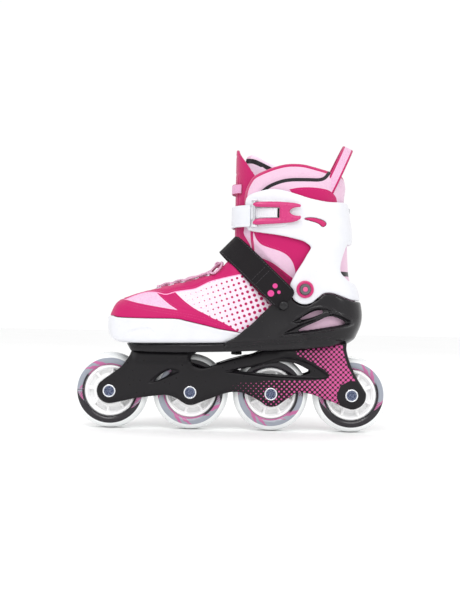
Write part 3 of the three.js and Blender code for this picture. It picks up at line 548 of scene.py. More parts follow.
class Finish:
    """Builds a material's nodes. Places are in millimetres, in the frame's axes."""

    def __init__(self, name, roughness, place="object", **sockets):
        self.material = bpy.data.materials.new(name)
        self.material.use_nodes = True
        self.nodes = self.material.node_tree.nodes
        self.links = self.material.node_tree.links
        self.shader = self.nodes["Principled BSDF"]
        self.shader.inputs["Roughness"].default_value = roughness
        for key, value in sockets.items():
            self.shader.inputs[key.replace("_", " ")].default_value = value
        if place == "object":
            source, output = self.nodes.new("ShaderNodeTexCoord"), "Object"
            scale = 1 / MM
        else:
            source, output = self.nodes.new("ShaderNodeAttribute"), "Vector"
            source.attribute_name = place
            scale = 1.0
        spread = self.nodes.new("ShaderNodeVectorMath")
        spread.operation = "SCALE"
        self.links.new(source.outputs[output], spread.inputs[0])
        spread.inputs["Scale"].default_value = scale
        self.place = spread.outputs[0]
        split = self.nodes.new("ShaderNodeSeparateXYZ")
        self.links.new(self.place, split.inputs[0])
        self.x, self.y, self.z = split.outputs
        self.last_bump = None

    def feed(self, socket, value):
        if isinstance(value, bpy.types.NodeSocket):
            self.links.new(value, socket)
        else:
            socket.default_value = value

    def math(self, operation, a, b=0.0, c=0.0):
        node = self.nodes.new("ShaderNodeMath")
        node.operation = operation
        for socket, value in zip(node.inputs, (a, b, c)):
            self.feed(socket, value)
        return node.outputs[0]

    def step(self, value, low, high):
        node = self.nodes.new("ShaderNodeMapRange")
        node.interpolation_type = "SMOOTHSTEP"
        self.feed(node.inputs["Value"], value)
        node.inputs["From Min"].default_value = low
        node.inputs["From Max"].default_value = high
        return node.outputs["Result"]

    def mix(self, factor, a, b):
        node = self.nodes.new("ShaderNodeMix")
        node.data_type = "RGBA"
        self.feed(node.inputs["Factor"], factor)
        self.feed(node.inputs["A"], a)
        self.feed(node.inputs["B"], b)
        return node.outputs["Result"]

    def mark(self, name):
        node = self.nodes.new("ShaderNodeAttribute")
        node.attribute_name = name
        return node.outputs["Fac"]

    def noise(self, size, detail=3.0, stretch=(1, 1, 1)):
        """Soft noise with features of about the given size in millimetres."""
        squeeze = self.nodes.new("ShaderNodeVectorMath")
        squeeze.operation = "MULTIPLY"
        self.links.new(self.place, squeeze.inputs[0])
        squeeze.inputs[1].default_value = stretch
        node = self.nodes.new("ShaderNodeTexNoise")
        self.links.new(squeeze.outputs[0], node.inputs["Vector"])
        node.inputs["Scale"].default_value = 1 / size
        node.inputs["Detail"].default_value = detail
        return node.outputs["Fac"]

    def cells(self, size):
        node = self.nodes.new("ShaderNodeTexVoronoi")
        self.links.new(self.place, node.inputs["Vector"])
        node.inputs["Scale"].default_value = 1 / size
        return node.outputs["Distance"]

    def wave(self, a, pitch, shift=0.0):
        turn = self.math("MULTIPLY_ADD", a, 2 * math.pi / pitch, shift)
        return self.math("SINE", turn)

    def weave(self, pitch, a=None, b=None):
        """Over-and-under threads along two directions."""
        a = self.math("ADD", self.x, self.y) if a is None else a
        b = self.math("ADD", self.z, self.math("MULTIPLY", self.y, 0.5)) if b is None else b
        return self.math("MULTIPLY", self.wave(a, pitch), self.wave(b, pitch))

    def dots(self, pitch, slope, radius, edge=0.12):
        """Round dots on a square lattice turned by slope degrees, seen from the side."""
        turn = math.radians(slope)
        u = self.math("ADD", self.math("MULTIPLY", self.x, math.cos(turn) / pitch),
                      self.math("MULTIPLY", self.z, math.sin(turn) / pitch))
        v = self.math("SUBTRACT", self.math("MULTIPLY", self.z, math.cos(turn) / pitch),
                      self.math("MULTIPLY", self.x, math.sin(turn) / pitch))
        offsets = [self.math("SUBTRACT", self.math("FRACT", w), 0.5) for w in (u, v)]
        squares = [self.math("MULTIPLY", w, w) for w in offsets]
        away = self.math("MULTIPLY", self.math("SQRT", self.math("ADD", *squares)), pitch)
        return self.step(self.math("SUBTRACT", radius, away), -edge, edge)

    def colour(self, value):
        self.feed(self.shader.inputs["Base Color"], value)
        return self

    def rough(self, value):
        self.feed(self.shader.inputs["Roughness"], value)
        return self

    def rough_from(self, value, low, high):
        node = self.nodes.new("ShaderNodeMapRange")
        self.feed(node.inputs["Value"], value)
        node.inputs["To Min"].default_value = low
        node.inputs["To Max"].default_value = high
        return self.rough(node.outputs["Result"])

    def bump(self, height, depth, strength=0.6):
        """Raises the surface by depth millimetres where height grows by one."""
        node = self.nodes.new("ShaderNodeBump")
        node.inputs["Distance"].default_value = depth * MM
        node.inputs["Strength"].default_value = strength
        self.links.new(height, node.inputs["Height"])
        if self.last_bump is not None:
            self.links.new(self.last_bump, node.inputs["Normal"])
        self.last_bump = node.outputs["Normal"]
        self.links.new(self.last_bump, self.shader.inputs["Normal"])
        return self


def tone(finish, colour, amount=0.12, size=14, darker=(0.72, 0.72, 0.76)):
    """The colour with a faint slow change across the surface."""
    deep = tuple(c * d for c, d in zip(colour[:3], darker)) + (1.0,)
    cloud = finish.step(finish.noise(size, 4), 0.3, 0.75)
    return finish.mix(finish.math("MULTIPLY", cloud, amount), colour, deep)


def moulded(name, colour, roughness=0.38, grain=0.35, gloss=0.5):
    """Injection-moulded plastic: fine spark grain, slow unevenness and a few rubbed spots."""
    finish = Finish(name, roughness, Specular_IOR_Level=gloss)
    rubbed = finish.step(finish.noise(5, 6, (1, 1, 2.4)), 0.6, 0.8)
    finish.colour(tone(finish, colour))
    finish.rough_from(finish.math("ADD", finish.noise(3, 4), finish.math("MULTIPLY", rubbed, 0.3)),
                      roughness - 0.1, roughness + 0.14)
    finish.bump(finish.cells(grain), 0.02, 0.35)
    finish.bump(finish.noise(26, 2), 0.25, 0.5)
    return finish


def steel(name, colour=(0.62, 0.63, 0.66, 1), roughness=0.24):
    finish = Finish(name, roughness, Metallic=1.0)
    finish.colour(tone(finish, colour, 0.3, 3))
    finish.rough_from(finish.noise(0.6, 5, (1, 6, 1)), roughness - 0.08, roughness + 0.16)
    finish.bump(finish.noise(0.4, 3, (1, 5, 1)), 0.01, 0.4)
    return finish


def cloth(name, colour, pitch=1.1, place="object", sheen=0.35):
    """Close-woven fabric with a soft nap."""
    finish = Finish(name, 0.85, place, Sheen_Weight=sheen, Sheen_Roughness=0.5, Specular_IOR_Level=0.25)
    threads = finish.weave(pitch)
    shade = tuple(c * 0.8 for c in colour[:3]) + (1.0,)
    fleck = finish.step(finish.math("ADD", threads, finish.noise(0.7, 2)), -0.6, 1.4)
    finish.colour(finish.mix(fleck, shade, tone(finish, colour, 0.1, 11)))
    finish.bump(threads, 0.12, 0.55)
    finish.bump(finish.noise(9, 3), 0.5, 0.35)
    return finish


def webbing(name, colour, along, across, pitch=1.5, sheen=0.3):
    """Ribbed woven tape; along and across are directions in the side view."""
    finish = Finish(name, 0.8, Sheen_Weight=sheen, Sheen_Roughness=0.5, Specular_IOR_Level=0.2)

    def way(direction):
        parts = [finish.math("MULTIPLY", axis, d) for axis, d in zip((finish.x, finish.y, finish.z), direction)]
        return finish.math("ADD", finish.math("ADD", parts[0], parts[1]), parts[2])

    ribs = finish.wave(way(across), pitch)
    picks = finish.wave(way(along), pitch * 0.7)
    threads = finish.math("MAXIMUM", ribs, finish.math("MULTIPLY", picks, 0.8))
    shade = tuple(c * 0.6 for c in colour[:3]) + (1.0,)
    finish.colour(finish.mix(finish.step(threads, -0.8, 0.9), shade, colour))
    finish.bump(threads, 0.16, 0.7)
    finish.bump(finish.noise(7, 3), 0.3, 0.3)
    return finish


def frame_finish():
    finish = moulded("frame_black", BLACK, 0.3, gloss=0.24)
    fade = finish.mark("dots")
    radius = finish.math("MULTIPLY_ADD", fade, 1.62, -0.12)
    dots = finish.dots(3.4, 45, radius)
    inside = finish.math("MULTIPLY", finish.step(finish.mark("zone"), -0.2, 0.2),
                         finish.step(finish.mark("axle"), 13.6, 14.2))
    outside = finish.step(finish.math("ABSOLUTE", finish.y), 15.2, 15.7)
    facing = finish.math("MULTIPLY", inside, outside)
    printed = finish.math("MULTIPLY", dots, facing)
    base = tone(finish, BLACK)
    finish.colour(finish.mix(printed, base, tone(finish, DOT_PINK, 0.08)))
    return finish.material


def shell_finish():
    finish = moulded("shell_black", BLACK, 0.2, gloss=0.3)
    scuffs = finish.step(finish.noise(1.6, 8, (0.25, 1, 1.8)), 0.68, 0.74)
    finish.bump(scuffs, 0.03, 0.3)
    return finish.material


def vamp_finish():
    """Crimson overlays on pale mesh that is printed with dots growing towards the heel."""
    finish = Finish("vamp_panels", 0.72, Sheen_Weight=0.05, Sheen_Roughness=0.5, Specular_IOR_Level=0.22)
    overlay = finish.step(finish.mark("overlay"), -0.12, 0.12)
    front = finish.step(finish.mark("toe"), -0.2, 0.2)
    piping = finish.step(finish.mark("piping"), -0.08, 0.12)
    knit = finish.cells(1.15)
    holes = finish.step(knit, 0.52, 0.7)
    light = tone(finish, rgb(236, 220, 232), 0.14, 9)
    mesh = finish.mix(finish.math("MULTIPLY", holes, 0.35), light, rgb(222, 178, 208))
    grey_mesh = finish.mix(finish.math("MULTIPLY", holes, 0.4), rgb(228, 190, 215), rgb(196, 146, 184))
    radius = finish.math("MULTIPLY_ADD", finish.x, 0.0195, 1.12)
    spots = finish.math("MULTIPLY", finish.dots(5.05, 20, radius), finish.math("SUBTRACT", 1.0, front))
    mesh = finish.mix(front, mesh, grey_mesh)
    mesh = finish.mix(spots, mesh, DEEP_CRIMSON)
    leather = tone(finish, CRIMSON, 0.16, 10)
    pebble = finish.noise(0.9, 4)
    finish.colour(finish.mix(piping, finish.mix(overlay, mesh, leather), rgb(240, 160, 200)))
    finish.rough(finish.math("MULTIPLY_ADD", overlay, -0.26, 0.78))
    finish.bump(finish.math("MULTIPLY", finish.math("SUBTRACT", 1.0, overlay), knit), 0.35, 0.6)
    finish.bump(finish.math("MULTIPLY", overlay, pebble), 0.12, 0.4)
    finish.bump(finish.noise(11, 3), 0.35, 0.35)
    return finish.material


def liner_finish():
    finish = Finish("liner_panels", 0.82, "rest", Sheen_Weight=0.35, Sheen_Roughness=0.5,
                    Specular_IOR_Level=0.25)
    crimson = finish.step(finish.mark("crimson"), -0.12, 0.12)
    black = finish.step(finish.mark("black"), -0.12, 0.12)
    inside = finish.step(finish.mark("inside"), -0.3, 0.3)
    knit = finish.cells(1.1)
    weave = finish.weave(1.3)
    pale = finish.mix(finish.math("MULTIPLY", finish.step(knit, 0.45, 0.7), 0.35), tone(finish, LILAC, 0.12, 12),
                      rgb(214, 168, 200))
    plush = tone(finish, rgb(238, 214, 232), 0.15, 8)
    colour = finish.mix(inside, finish.mix(crimson, pale, tone(finish, CRIMSON, 0.14, 12)), plush)
    finish.colour(finish.mix(black, colour, rgb(34, 32, 36)))
    finish.bump(finish.mix(crimson, knit, weave), 0.2, 0.5)
    finish.bump(finish.noise(8, 4), 0.4, 0.35)
    return finish.material


# For each wheel, the way the black crescent of its print points, in degrees from the toe-to-heel axis.
CRESCENTS = (262, 60, 75, 268)


def tyre_finish(number):
    """Cast urethane over a printed ring: grey with broken pink arcs, and a black crescent with slanted bars."""
    finish = Finish(f"tyre_urethane_{number}", 0.18, Specular_IOR_Level=0.35, Coat_Weight=0.15, Coat_Roughness=0.08)
    radius, side = finish.mark("radius"), finish.math("ABSOLUTE", finish.mark("side"))
    turned = finish.math("ADD", finish.mark("angle"), -math.radians(CRESCENTS[number - 1]))
    toward = finish.math("COSINE", turned)
    slanted = finish.math("MULTIPLY_ADD", radius, -0.05, turned)
    depth = finish.math("MULTIPLY", finish.step(toward, 0.05, 0.75), 6.3)
    crescent = finish.step(finish.math("ADD", radius, depth), 30.8, 31.1)
    ends = finish.math("MULTIPLY", finish.step(toward, 0.62, 0.6), finish.step(toward, 0.18, 0.2))
    bars = finish.math("MULTIPLY", finish.step(finish.wave(slanted, 2 * math.pi / 64), 0.0, 0.25), ends)
    ragged = finish.math("ADD", finish.wave(slanted, 2 * math.pi / 5, number * 2.1),
                         finish.math("MULTIPLY", finish.wave(slanted, 2 * math.pi / 17, number), 0.6))
    arc_depth = finish.math("MULTIPLY_ADD", finish.step(ragged, 0.55, 0.62), 3.0, 0.7)
    inner_arc = finish.step(finish.math("SUBTRACT", radius, arc_depth), 24.9, 24.6)
    blocks = finish.math("MULTIPLY", finish.step(ragged, 1.0, 1.05), finish.step(radius, 27.4, 27.6))
    pink = finish.math("MAXIMUM", inner_arc, blocks)
    ring = finish.mix(pink, tone(finish, RING_GREY, 0.2, 5), RING_PINK)
    ring = finish.mix(bars, ring, RING_PINK)
    thin_line = finish.math("MULTIPLY", finish.step(radius, 26.3, 26.1), finish.step(toward, -0.55, -0.4))
    ring = finish.mix(thin_line, ring, rgb(46, 43, 49))
    ring = finish.mix(crescent, ring, rgb(34, 31, 36))
    ring = finish.mix(finish.math("MULTIPLY", bars, finish.step(finish.wave(slanted, 2 * math.pi / 64, 1.6), 0.2, 0.4)),
                      ring, rgb(46, 43, 49))
    clear = tone(finish, rgb(238, 240, 240), 0.12, 16)
    # Painted shade: the tread's middle, seen edge-on at the wheel's outer rim from the side, is coloured a little
    # greyer.
    painted_tread_shade = finish.mix(finish.step(side, 5.5, 2.5), clear, rgb(226, 229, 229))
    printed = finish.math("MULTIPLY", finish.step(radius, 31.0, 30.7), finish.step(side, 8.6, 9.0))
    finish.colour(finish.mix(printed, painted_tread_shade, ring))
    finish.rough_from(finish.noise(2.5, 5), 0.12, 0.3)
    finish.bump(finish.noise(3, 4), 0.05, 0.3)
    return finish.material


def strap_finish():
    """Black webbing with three round pink marks near its outer end."""
    along = (ALONG[0], 0.75, ALONG[2])
    finish = webbing("strap_black", rgb(25, 22, 25), along, ACROSS, 1.3, 0.06)
    base = finish.shader.inputs["Base Color"].links[0].from_socket
    marks = None
    for x, z, radius in ((39, 137.2, 2.3), (35.2, 130.3, 3.0), (42.5, 131.5, 1.6)):
        dx, dz = finish.math("SUBTRACT", finish.x, x), finish.math("SUBTRACT", finish.z, z)
        away = finish.math("SQRT", finish.math("ADD", finish.math("MULTIPLY", dx, dx), finish.math("MULTIPLY", dz, dz)))
        spot = finish.step(away, radius + 0.15, radius - 0.15)
        marks = spot if marks is None else finish.math("MAXIMUM", marks, spot)
    outer = finish.math("MULTIPLY", marks, finish.step(finish.y, -20, -21))
    finish.colour(finish.mix(outer, base, rgb(214, 72, 142)))
    return finish.material


def loop_finish(name, middle, low, high):
    """Narrow tape, pale with crimson edges; middle is the width's own coordinate on the mesh."""
    finish = Finish(name, 0.8, "rest", Sheen_Weight=0.3, Sheen_Roughness=0.5, Specular_IOR_Level=0.25)
    across, length = finish.mark("across"), finish.mark("length")
    ribs = finish.math("MULTIPLY", finish.wave(across, 0.9), finish.wave(length, 1.1))
    pale = finish.mix(finish.step(ribs, -0.8, 0.9), rgb(214, 170, 202), middle)
    edge = finish.step(finish.math("ABSOLUTE", across), low, high)
    finish.colour(finish.mix(edge, pale, CRIMSON))
    finish.bump(ribs, 0.15, 0.7)
    return finish.material


def cord_finish(name, colour, other):
    """Braided cord: two strands crossing on the way round and along."""
    finish = Finish(name, 0.75, "rest", Sheen_Weight=0.3, Sheen_Roughness=0.5, Specular_IOR_Level=0.25)
    around, length = finish.mark("around"), finish.mark("length")
    strands = finish.math("MULTIPLY", finish.wave(finish.math("MULTIPLY_ADD", length, 2.2, around), math.pi / 2),
                          finish.wave(finish.math("MULTIPLY_ADD", length, -2.2, around), math.pi / 2))
    finish.colour(finish.mix(finish.step(strands, -0.5, 0.5), other, colour))
    finish.bump(strands, 0.2, 0.8)
    return finish.material


# ---- turned parts, bands and cords ---------------------------------------------------------------

def softened(profile, radius, turns=4, closed=True):
    """The outline with its corners rounded off."""
    points = np.array(profile, float)
    made = []
    count = len(points)
    for i, corner in enumerate(points):
        if not closed and i in (0, count - 1):
            made.append(corner[None])
            continue
        before, after = points[i - 1] - corner, points[(i + 1) % count] - corner
        reach = min(radius, 0.45 * np.linalg.norm(before), 0.45 * np.linalg.norm(after))
        a = corner + before / np.linalg.norm(before) * reach
        b = corner + after / np.linalg.norm(after) * reach
        t = np.linspace(0, 1, turns)[:, None]
        made.append((1 - t) ** 2 * a + 2 * t * (1 - t) * corner + t ** 2 * b)
    return np.vstack(made)


def lathe(name, profile, place, turns=72, radius=0.35):
    """A ring or knob turned from a closed outline of (radius, height); place puts it in the frame."""
    outline_points = softened(profile, radius) if radius else np.array(profile, float)
    outline_points[:, 0] = np.maximum(outline_points[:, 0], 0)
    angles = np.linspace(0, 2 * math.pi, turns, endpoint=False)
    r = outline_points[None, :, 0]
    points = np.stack([r * np.cos(angles)[:, None], r * np.sin(angles)[:, None],
                       np.broadcast_to(outline_points[None, :, 1], (turns, len(outline_points)))], -1)
    count = len(outline_points)
    faces = []
    for i in range(turns):
        j = (i + 1) % turns
        for k in range(count):
            m = (k + 1) % count
            faces.append((i * count + k, j * count + k, j * count + m, i * count + m))
    piece = make_object(name, place(points.reshape(-1, 3)), faces)
    return cleaned(piece)


def cleaned(piece, sharp=40):
    """Merges doubled points, faces everything outwards and keeps the hard edges crisp."""
    mesh = bmesh.new()
    mesh.from_mesh(piece.data)
    bmesh.ops.remove_doubles(mesh, verts=mesh.verts, dist=1e-6)
    bmesh.ops.dissolve_degenerate(mesh, edges=mesh.edges, dist=1e-7)
    bmesh.ops.recalc_face_normals(mesh, faces=mesh.faces)
    mesh.to_mesh(piece.data)
    mesh.free()
    piece.data.set_sharp_from_angle(angle=math.radians(sharp))
    return piece


def beside(x, z, side=OUTER):
    """Stands a turned part's axis along the wheels' axles, with its height pointing away from the middle."""
    return lambda p: np.stack([x + p[:, 0], side * p[:, 2], z + p[:, 1]], 1)


def upright(x, y=0.0):
    return lambda p: np.stack([x + p[:, 0], y + p[:, 1], p[:, 2]], 1)


def path_frames(path, up):
    """Directions along a path, and across and out of it."""
    path = np.array(path, float)
    ahead = np.gradient(path, axis=0)
    ahead /= np.linalg.norm(ahead, axis=1)[:, None]
    out = np.array(up, float) * np.ones_like(path)
    out -= (out * ahead).sum(1)[:, None] * ahead
    out /= np.linalg.norm(out, axis=1)[:, None]
    return ahead, np.cross(ahead, out), out


def sweep(name, path, section, up=(0, 0, 1), closed=False):
    """A section of (across, out) points carried along a path, with the ends closed."""
    path = np.array(path, float)
    section = np.array(section, float)
    ahead, across, out = path_frames(path, up)
    count = len(section)
    points = (path[:, None] + across[:, None] * section[None, :, :1] + out[:, None] * section[None, :, 1:])
    faces = []
    rows = len(path)
    for i in range(rows if closed else rows - 1):
        j = (i + 1) % rows
        for k in range(count):
            m = (k + 1) % count
            faces.append((i * count + k, j * count + k, j * count + m, i * count + m))
    if not closed:
        faces.append(tuple(range(count)))
        faces.append(tuple((rows - 1) * count + k for k in reversed(range(count))))
    piece = make_object(name, points.reshape(-1, 3), faces)
    reach = np.concatenate([[0], np.cumsum(np.linalg.norm(np.diff(path, axis=0), axis=1))])
    mark(piece, length=np.repeat(reach, count), across=np.tile(section[:, 0], rows),
         around=np.tile(np.arctan2(section[:, 1], section[:, 0]), rows))
    keep_places(piece)
    bm = bmesh.new()
    bm.from_mesh(piece.data)
    bmesh.ops.recalc_face_normals(bm, faces=bm.faces)
    bm.to_mesh(piece.data)
    bm.free()
    return piece


def keep_places(piece):
    """Remembers each point's place at rest in millimetres, so that a pattern bends with the cloth."""
    layer = piece.data.attributes.new("rest", "FLOAT_VECTOR", "POINT")
    layer.data.foreach_set("vector", points_of(piece).ravel().astype(np.float32))
    return piece


def circle(radius, count=10):
    angles = np.linspace(0, 2 * math.pi, count, endpoint=False)
    return np.stack([radius * np.cos(angles), radius * np.sin(angles)], 1)


def tape(width, thickness, count=9):
    """A flat section with full round edges, as (across, out) points."""
    half, round_off = width / 2, thickness / 2
    across = np.linspace(-half + round_off, half - round_off, count)
    low = np.stack([across, np.full(count, -round_off)], 1)
    high = np.stack([across[::-1], np.full(count, round_off)], 1)
    right, left = [(half, 0)], [(-half, 0)]
    return np.vstack([low, right, high, left])


def cord_along(name, points, radius, spacing=0.8, up=(0, 0, 1)):
    return sweep(name, even(curve(points, 14), spacing), circle(radius), up)


def joined(name, pieces):
    """Makes one piece out of several, with the first one's materials."""
    bpy.ops.object.select_all(action="DESELECT")
    for piece in pieces:
        piece.select_set(True)
    bpy.context.view_layer.objects.active = pieces[0]
    bpy.ops.object.join()
    pieces[0].name = name
    pieces[0].data.name = name
    return pieces[0]


def stitches(name, tree, routes, look, length=2.4, gap=1.1, radius=0.26, lift=0.12):
    """Rows of real thread stitches that lie on a surface, along routes of points near it."""
    points, faces = [], []
    ring = circle(1, 5)
    for route in routes:
        path = even(route, (length + gap) / 4)
        landed = []
        for p in path:
            hit, normal, _index, _away = tree.find_nearest(Vector(p))
            landed.append((np.array(hit), np.array(normal)))
        for start in range(0, len(landed) - 3, 4):
            a, normal_a = landed[start]
            b, normal_b = landed[start + 3]
            ahead = b - a
            size = np.linalg.norm(ahead)
            if size < 0.8 or size > 2 * length:
                continue
            ahead /= size
            out = normal_a + normal_b
            out /= np.linalg.norm(out)
            side = np.cross(ahead, out)
            first = len(points)
            rows = ((0.0, -0.15, 0.35), (0.12, 0.12, 0.85), (0.5, 0.3, 1.0), (0.88, 0.12, 0.85), (1.0, -0.15, 0.35))
            for along, height, fat in rows:
                middle = a + ahead * size * along + out * (lift + height - 0.1)
                for u, v in ring:
                    points.append(middle + (side * u + out * v) * radius * fat)
            for row in range(4):
                for k in range(5):
                    m = (k + 1) % 5
                    faces.append((first + row * 5 + k, first + row * 5 + m, first + row * 5 + 5 + m,
                                  first + row * 5 + 5 + k))
            faces.append(tuple(first + k for k in range(5)))
            faces.append(tuple(first + 20 + k for k in reversed(range(5))))
    piece = make_object(name, points, faces)
    bm = bmesh.new()
    bm.from_mesh(piece.data)
    bmesh.ops.recalc_face_normals(bm, faces=bm.faces)
    bm.to_mesh(piece.data)
    bm.free()
    piece.data.materials.append(look)
    return piece


def surface_tree(piece):
    """A search tree over a piece's surface, in millimetres."""
    points = [Vector(p) for p in points_of(piece)]
    return BVHTree.FromPolygons(points, [tuple(face.vertices) for face in piece.data.polygons])


def foot_side(path, hand):
    """A side-view path laid on the foot's outer or inner face."""
    x, z = np.array(path, float).T
    half, sole, top = FOOT(x)
    height = np.clip((z - sole) / (top - sole), 0, 0.999)
    return np.stack([x, hand * half * (1 - height ** ROUND) ** (1 / ROUND), z], 1)


def shaft_side(path, hand):
    x, z = np.array(path, float).T
    front, rear, half = SHAFT(z)
    ahead = np.clip(np.abs(x - (front + rear) / 2) / ((rear - front) / 2), 0, 0.999)
    return np.stack([x, hand * half * (1 - ahead ** ROUND) ** (1 / ROUND), z], 1)


def between(path, low, high):
    return path[(path[:, 0] > low) & (path[:, 0] < high)]


# ---- soft parts and trim ---------------------------------------------------------------------------

def make_vamp(look, thread):
    grid = Grid((-121, -43, 86), (50, 43, 182), 0.75)
    boot = boot_field(grid)
    rear = grid.side([(-140, 200), (-22, 190), (-11.4, 167.6), (34.6, 120.6), (47, 111.5), (47, 104), (49, 60),
                      (-140, 60)])
    cap = grid.side(outline([(-130, 107)], CAP_EDGE + (0, 0.3), [(60, 84), (60, 60), (-130, 60)]))
    rand = grid.side(outline(RAND_TOP, [(30, 60), (-130, 60), (-130, 124)]))
    stay = grid.side(outline(EYESTAY, [(30, 190), (-100, 190), (-118, 124)]))
    stripe = grid.side(STRIPE)
    overlay = np.minimum(np.minimum(rand, stay), stripe)
    piping = np.minimum(np.abs(grid.side_line(EYESTAY) - 0.2), np.abs(rand))
    raised = 0.62 * step_up(-rand, 0, 0.9) + 0.5 * step_up(-stay, 0, 0.9) + 0.34 * step_up(-stripe, 0, 0.9)
    edge_seam = 0.3 * np.exp(-((np.abs(overlay + 2.2)) / 0.55) ** 2)
    plump = 0.7 * step_up(-grid.side(TOE_PANEL), 0, 8) + 0.35 * np.sin(grid.x / 5.5) * step_up(-stay, 0, 2)
    cord_line = 0.45 * np.exp(-(grid.side_line(EYESTAY) / 0.7) ** 2)
    outer = -1.5 + np.minimum(raised, 0.62) - edge_seam * step_up(-overlay, 0, 1) + 0.4 * plump + cord_line
    throat_half = 6.5 + 6 * np.clip((grid.x + 70) / 60, 0, 1)
    throat = smax(smax(-66 - grid.x, np.abs(grid.y) - throat_half, 5), 120 - grid.z, 1)
    wall = np.maximum(boot - outer, -3.9 - boot)
    wall = smax(smax(wall, rear, 1.2), -cap, 0.8)
    wall = smax(wall, -throat, 1.2)
    piece = settle(grid.mesh("vamp_upper", wall, 0.01), 1)
    p = points_of(piece)
    x, z = p[:, 0], p[:, 2]
    rand_at = region(outline(RAND_TOP, [(30, 60), (-130, 60), (-130, 124)]), x, z)
    stay_at = region(outline(EYESTAY, [(30, 190), (-100, 190), (-118, 124)]), x, z)
    stripe_at = region(STRIPE, x, z)
    mark(piece, overlay=-np.minimum(np.minimum(rand_at, stay_at), stripe_at),
         toe=-region(outline([(-120, 100)], RAND_TOP[:1], TOE_PANEL, [(-60, 90)]), x, z),
         piping=0.45 - off_line(EYESTAY + (0, -0.4), x, z))
    place_piece(piece, "toe_box", "upper_fabric", look, "vamp")
    routes = []
    for hand in (OUTER, INNER):
        for drop in (2.0, 4.4):
            routes.append(foot_side(between(RAND_TOP, -109, -4) - (0, drop), hand))
        routes.append(foot_side(between(EYESTAY, -96, -16) + (0, 2.4), hand))
        routes.append(foot_side(STRIPE_FRONT[3:-3] + (1.8, 0.6), hand))
        routes.append(foot_side(between(STRIPE_REAR, -54, -26) - (1.8, 0.6), hand))
    sewn = stitches("vamp_stitches", surface_tree(piece), routes, thread, 2.2, 1.1, 0.24)
    place_piece(sewn, "toe_box", "upper_fabric", thread)
    return piece


def make_liner(look, thread):
    """The boot's padded lining and ankle collar, one hollow form."""
    grid = Grid((-26, -44, 86), (124, 44, 270), 1.0)
    foot = grid.even(foot_field(grid))
    shaft = grid.even(shaft_field(grid))
    boot = grid.even(smin(foot, shaft, 9))
    above_strap = (grid.x - 46) * math.sin(STRAP_LEAN) + (grid.z - 127.5) * math.cos(STRAP_LEAN)
    collar_zone = step_up(above_strap, 12.6, 18)
    inner_wide = step_up(grid.x, 38, 56) * step_up(138 - grid.z, 0, 10)
    slide_room = 1.6 * step_up(50 - grid.x, 0, 20) * step_up(140 - grid.z, 0, 20)
    outer = -4.4 - slide_room + np.maximum(inner_wide, collar_zone) * (4.2 + slide_room)
    top_line = np.where(grid.y < 0, grid.side(outline(COLLAR_TOP_OUTER, [(140, 240), (140, 80), (-60, 80), (-60, 184), (6, 184)])),
                        grid.side(outline(COLLAR_TOP_INNER, [(140, 240), (140, 80), (-60, 80), (-60, 184), (6, 184)])))
    stripe_line = grid.side_line(BLACK_STRIPE)
    bulge = 1.5 * np.exp(-(((top_line + 9) / 7.5) ** 2)) - 1.3 * np.exp(-(stripe_line / 2.4) ** 2)
    edges = grid.side(outline(PANEL_SIDE)), grid.side(PANEL_LOW)
    seams = sum(0.6 * np.exp(-(np.abs(e) / 0.9) ** 2) for e in edges)
    soft_waves = 0.35 * np.sin(grid.x / 9 + 1) * np.sin(grid.z / 8)
    outer = outer + np.where(grid.z > 214, bulge, 0) + collar_zone * (soft_waves - seams)
    front_edge = 3.0 * collar_zone * step_up(22 - grid.x, 0, 8)
    wall = np.maximum(boot - outer, -8.4 + 2.2 * collar_zone + front_edge - boot)
    wall = np.maximum(wall, -14.5 - smin(foot_field(grid), shaft_field(grid), 9))
    wall = smax(wall, top_line, 4.2)
    open_front = smax(smax(grid.x - 27, np.abs(grid.y) - (15.5 - 3 * step_up(182 - grid.z, 0, 20)), 1.5), 128 - grid.z, 3)
    wall = smax(wall, -open_front, 2.5)
    wall = smax(wall, grid.side([(-60, 70), (-22, 70), (-22, 150), (-12, 163), (0, 178), (8, 190), (8, 300), (140, 300), (140, 70)]), 2)
    piece = settle(grid.mesh("boot_liner", wall, 0.01), 2)
    p = points_of(piece)
    x, y, z = p.T
    front, rear, half = SHAFT(z)
    into = oval(x - (front + rear) / 2, y, (rear - front) / 2, half)
    clear = step_up((x - 46) * math.sin(STRAP_LEAN) + (z - 127.5) * math.cos(STRAP_LEAN), 12.6, 18)
    sunk = -into - 2.6 - 5.2 * (1 - clear)
    crimson = np.maximum.reduce([-region(LEAF_TOP, x, z), -region(PANEL_SIDE, x, z), -region(PANEL_LOW, x, z),
                                 1.2 - off_line(EDGE_PIPING, x, z)])
    rim_line = np.where(y < 0, off_line(COLLAR_TOP_OUTER, x, z), off_line(COLLAR_TOP_INNER, x, z))
    crimson = np.maximum(crimson, np.where((z > 205) & ((y < 0) | (x > 44)), 3.3 - rim_line, -5))
    leaf_back = -region([(58, 206), (92, 206), (92, 188), (58, 188)], x, z)
    crimson = np.maximum(crimson, leaf_back)
    stripe = np.where(y < 0, off_line(BLACK_STRIPE, x, z), off_line(BLACK_STRIPE_INNER, x, z))
    black = np.where(y < 0, 1.6, 2.3) - stripe
    black = np.where((y < 0) & (sunk > 0), -5, black)
    band = 2.2 - np.abs(z - 150)
    black = np.maximum(black, np.where(x > 92, band, -5))
    mark(piece, crimson=np.where(z > 120, crimson, -5), black=black, inside=np.where(z < 212, sunk, sunk - 0.6))
    keep_places(piece)
    place_piece(piece, ("chassis", "ankle_cuff", (0.0658, 0, 0.1327), (0.0742, 0, 0.1508)), "liner_fabric", look,
                "boot_lower", "ankle_collar")
    routes = []
    for hand in (OUTER, INNER):
        routes.append(shaft_side(between(LEAF_TOP[:40], 46, 93) + (0, -1.8), hand))
        routes.append(shaft_side(PANEL_SIDE[10:34] + (0.9, 1.6), hand))
    sewn = stitches("collar_stitches", surface_tree(piece), routes, thread, 2.2, 1.1, 0.22)
    place_piece(sewn, "ankle_cuff", "liner_fabric", thread)
    return piece


